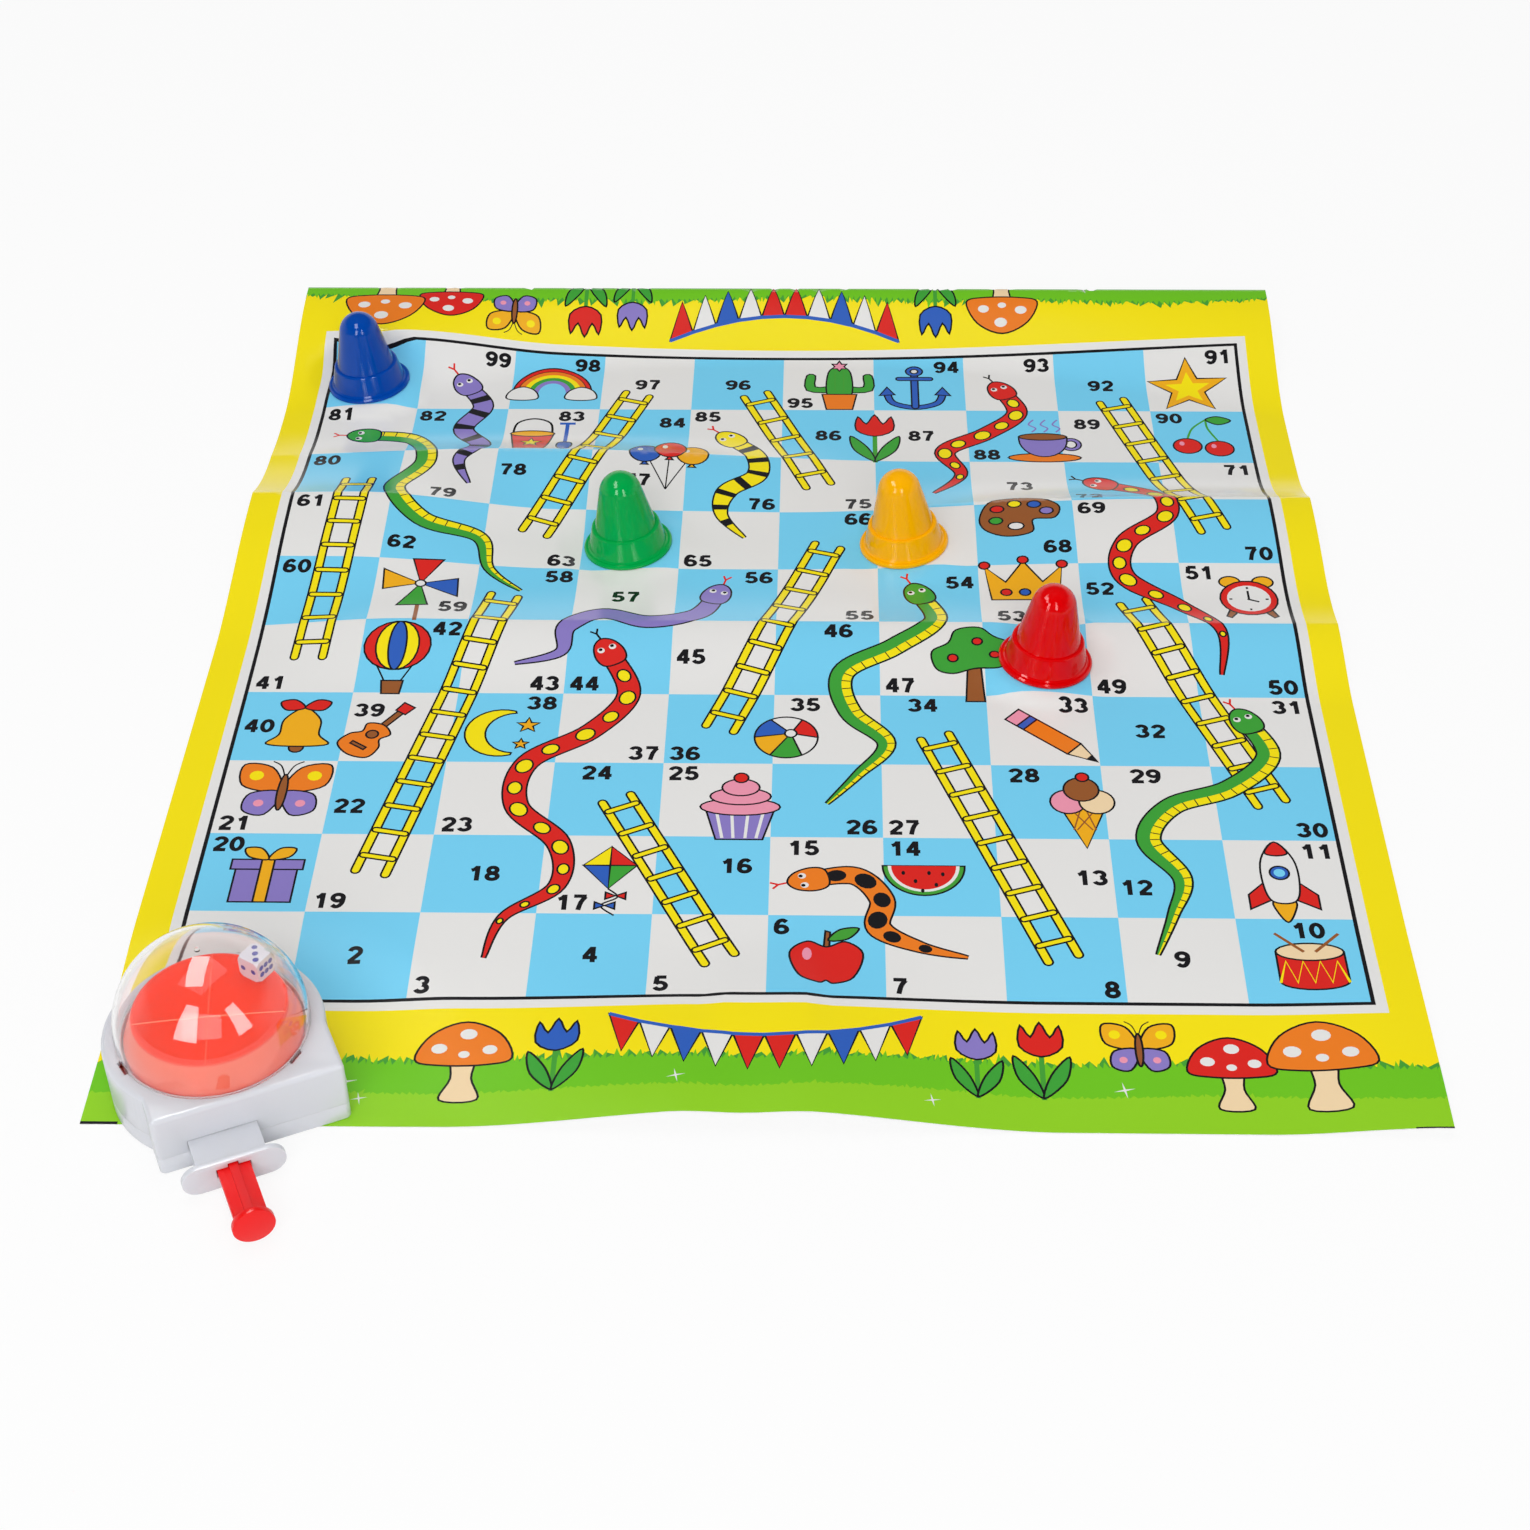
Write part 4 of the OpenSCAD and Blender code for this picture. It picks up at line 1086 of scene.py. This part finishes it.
def soften(piece, width):  # rounds the sharp edges of a moulding
    selectOnly(piece)
    bpy.ops.object.mode_set(mode="EDIT")
    bpy.ops.mesh.select_all(action="SELECT")
    bpy.ops.mesh.remove_doubles(threshold=softEdges["weld"] * mm)
    bpy.ops.mesh.dissolve_limited(angle_limit=math.radians(softEdges["flat"]))
    bpy.ops.object.mode_set(mode="OBJECT")
    applyModifier(piece, "BEVEL", width=width * mm, segments=2, limit_method="ANGLE",
                  angle_limit=math.radians(softEdges["sharp"]))
    bpy.ops.object.shade_smooth_by_angle(angle=math.radians(softEdges["smooth"]))


# Pawns: glossy polythene, each dyed through

pawnColours = {"blue": "#0046a8", "green": "#00a64a", "yellow": "#ffb400", "red": "#e00004"}
for name, colour in pawnColours.items():
    dress("pawn_" + name, mouldedPlastic("polythene " + name, colour, (0.05, 0.12),
                                         **{"Specular IOR Level": 0.25}))


# Popper: milky shells that light sinks into, and a red plunger

popper = {  # mm
    "shellEdge": 0.5,
    "plungerEdge": 0.3,
    "axis": (-175.0, -210.76),
    "turn": 24,  # degrees
    "round": (33.7, 35.5),  # walls of the round
    "inset": 2.4,  # of the straight front behind the round
    "pushAxis": Vector((-0.406737, 0.913545, 0)),
    "pushTravel": 16.0,
}


def flattenFront(piece):  # the round's wall is laid back to the straight front of the block
    turn = Matrix.Rotation(math.radians(popper["turn"]), 3, "Z")
    axis = Vector((*popper["axis"], 0)) * mm
    for vertex in piece.data.vertices:
        place = turn.inverted() @ (vertex.co - axis)
        reach = math.hypot(place.x, place.y) / mm
        if popper["round"][0] < reach < popper["round"][1]:
            place.y = max(place.y, (popper["inset"] - reach) * mm)
            vertex.co = turn @ place + axis


shellPlastic = mouldedPlastic("polystyrene milk white", "#d7d9df", (0.24, 0.28), **{
    "Subsurface Weight": 0.3, "Subsurface Radius": (1.6, 1.6, 1.8), "Subsurface Scale": mm})
for node in ("popper_lower_shell", "popper_upper_shell"):
    shell = copyOf(node, "popper", node + "_soft", shellPlastic)
    flattenFront(shell)
    soften(shell, popper["shellEdge"])
    print(shell.name, len(shell.data.polygons), "faces")

plungerPlastic = mouldedPlastic("polystyrene bright red", "#f00a0a", (0.2, 0.3), **{
    "Specular IOR Level": 0.32})
plunger = copyOf("popper_plunger", "plunger", "popper_plunger_soft", plungerPlastic)
soften(plunger, popper["plungerEdge"])


# Die: a white cube rounded by a ball, with painted hollows for pips

def cut(piece, tool, way):  # boolean with the tool's material left on the cut
    selectOnly(piece)
    applyModifier(piece, "BOOLEAN", operation=way, object=tool, material_mode="TRANSFER")
    bpy.data.objects.remove(tool)


def addDie(spec):
    resin = mouldedPlastic("die resin", "#dfdbe3", (0.14, 0.22))
    pipPaint = mouldedPlastic("pip paint", "#3f389c", (0.25, 0.35))
    deselect()
    bpy.ops.mesh.primitive_cube_add(size=spec["edge"] * mm)
    cube = bpy.context.object
    cube.name = "popper_die_pips"
    cube.data.materials.append(resin)
    deselect()
    bpy.ops.mesh.primitive_uv_sphere_add(segments=96, ring_count=48, radius=spec["ball"] * mm)
    ball = bpy.context.object
    ball.data.materials.append(resin)
    cut(cube, ball, "INTERSECT")
    high = spec["edge"] / 2 - spec["pipDeep"] + spec["pipBall"]
    deselect()
    pips = []
    for turn, places in spec["faces"]:
        face = Euler([math.radians(a) for a in turn]).to_matrix()
        for x, y in places:
            spot = face @ Vector((x * spec["step"], y * spec["step"], high))
            bpy.ops.mesh.primitive_uv_sphere_add(segments=24, ring_count=12, radius=spec["pipBall"] * mm,
                                                 location=spot * mm)
            bpy.context.object.data.materials.append(pipPaint)
            pips.append(bpy.context.object)
    for pip in pips:
        pip.select_set(True)
    bpy.ops.object.join()
    cut(cube, bpy.context.object, "DIFFERENCE")
    bpy.ops.object.shade_smooth_by_angle(angle=math.radians(28))
    turn = Matrix.Rotation(math.radians(spec["turn"]), 4, "Z")
    cube.data.transform(Matrix.Translation(Vector(spec["middle"]) * mm) @ turn)
    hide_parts("popper_die")
    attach(cube, "die")
    print("die:", len(cube.data.polygons), "faces")


dieShape = {  # mm; faces with their turn in degrees and pips, seven over opposite faces
    "edge": 8.0, "ball": 6.24, "pipBall": 1.55, "pipDeep": 0.37, "step": 2.08, "turn": 58,
    "middle": (-161.75, -195.78, 37.9),
    "faces": [
        ((90, 0, 180), [(0, 0)]), ((90, 0, -90), [(-1, 0), (1, 0)]),
        ((0, 0, 0), [(-1, -1), (0, 0), (1, 1)]), ((180, 0, 0), [(-1, -1), (-1, 1), (1, -1), (1, 1)]),
        ((90, 0, 90), [(-1, -1), (-1, 1), (0, 0), (1, -1), (1, 1)]),
        ((90, 0, 0), [(x, row) for row in (-0.65, 0.65) for x in (-1, 0, 1)]),
    ],
}
addDie(dieShape)


# Tray under the dome: clear orange polystyrene, given a faint orange emission as painted light that
# brightens it under the dome

tray = {
    "top": "#ff3a00",
    # paler skirt colour: painted light, for the light that comes through the thin wall
    "skirt": "#ff9c82",
    # colour of the painted glow: emission that brightens the tray, though it is no lamp
    "glow": "#ff3b12",
    "turn": (31.8, 32.9),  # heights in mm where the skirt meets the top
    "ribs": [(7.7, -5.0, "#ff8460"), (97.7, 0.0, "#ff4a1e")],  # turn in degrees, shift in mm, colour lighter than the tray's as painted highlight, the first rib more than the second
    "ribLong": 49.0,
    "ribWide": 0.4,
    "ribThick": 0.3,
    "ribProud": 0.15,
    "ribStart": 40.0,  # height from which a rib is laid down
}


def addRib(spec, turn, shift, colour):  # fine moulded line across the tray, laid on its crown; its lighter colour is a painted highlight
    deselect()
    bpy.ops.mesh.primitive_grid_add(x_subdivisions=48, y_subdivisions=1, size=1)
    rib = bpy.context.object
    rib.name = "popper_kicker_rib"
    shape = Matrix.Diagonal((spec["ribLong"] * mm, spec["ribWide"] * mm, 1, 1))
    middle = Matrix.Translation(Vector((*popper["axis"], spec["ribStart"])) * mm)
    place = middle @ Matrix.Rotation(math.radians(turn), 4, "Z")
    rib.data.transform(place @ Matrix.Translation((0, shift * mm, 0)) @ shape)
    applyModifier(rib, "SHRINKWRAP", target=nodes["popper_kicker"], wrap_method="PROJECT",
                  use_project_z=True, use_negative_direction=True, use_positive_direction=False,
                  offset=spec["ribProud"] * mm)
    applyModifier(rib, "SOLIDIFY", thickness=spec["ribThick"] * mm)
    # the rib's colour is lighter than the tray's: painted highlight along the moulded line
    rib.data.materials.append(mouldedPlastic("polystyrene clear orange rib, painted highlight", colour, (0.2, 0.3)))
    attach(rib, "kicker")


def skirtPaintedLight(material):  # painted light: the skirt's base colour is paler than the top's, for the light that comes through its thin wall
    tree = material.node_tree
    place = addNode(tree, "ShaderNodeTexCoord")
    height = addNode(tree, "ShaderNodeSeparateXYZ", {0: place.outputs["Object"]})
    share = addNode(tree, "ShaderNodeMapRange", {
        "Value": height.outputs["Z"], "From Min": tray["turn"][0] * mm, "From Max": tray["turn"][1] * mm})
    colour = addNode(tree, "ShaderNodeMix", {
        "Factor": share.outputs[0], "A": linear(tray["skirt"]), "B": linear(tray["top"])}, data_type="RGBA")
    tree.links.new(colour.outputs["Result"], tree.nodes["Principled BSDF"].inputs["Base Color"])


# the emission is painted light: it brightens the tray under the dome, though the tray is no lamp
trayPlastic = mouldedPlastic("polystyrene clear orange", tray["top"], (0.12, 0.2), **{
    "IOR": 1.2, "Transmission Weight": 0.45, "Specular IOR Level": 0.3,
    "Emission Color": linear(tray["glow"]), "Emission Strength": 0.13})
skirtPaintedLight(trayPlastic)
for rib in tray["ribs"]:
    addRib(tray, *rib)
dress("popper_kicker", trayPlastic)


# Bright steel of the screws and of the spring, which gets a mesh of its own; clear dome

steel = mouldedPlastic("zinc plated steel", "#c9ccd2", (0.22, 0.34), Metallic=1.0)
dress("popper_screws", steel)
spring = copyOf("plunger_spring", "popper", "plunger_spring_coil", steel)
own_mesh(spring)
dress("popper_dome", mouldedPlastic("clear polystyrene", "#ffffff", (0.02, 0.04), **{
    "Transmission Weight": 1.0, "Specular IOR Level": 0.35}))
print("materials ready")
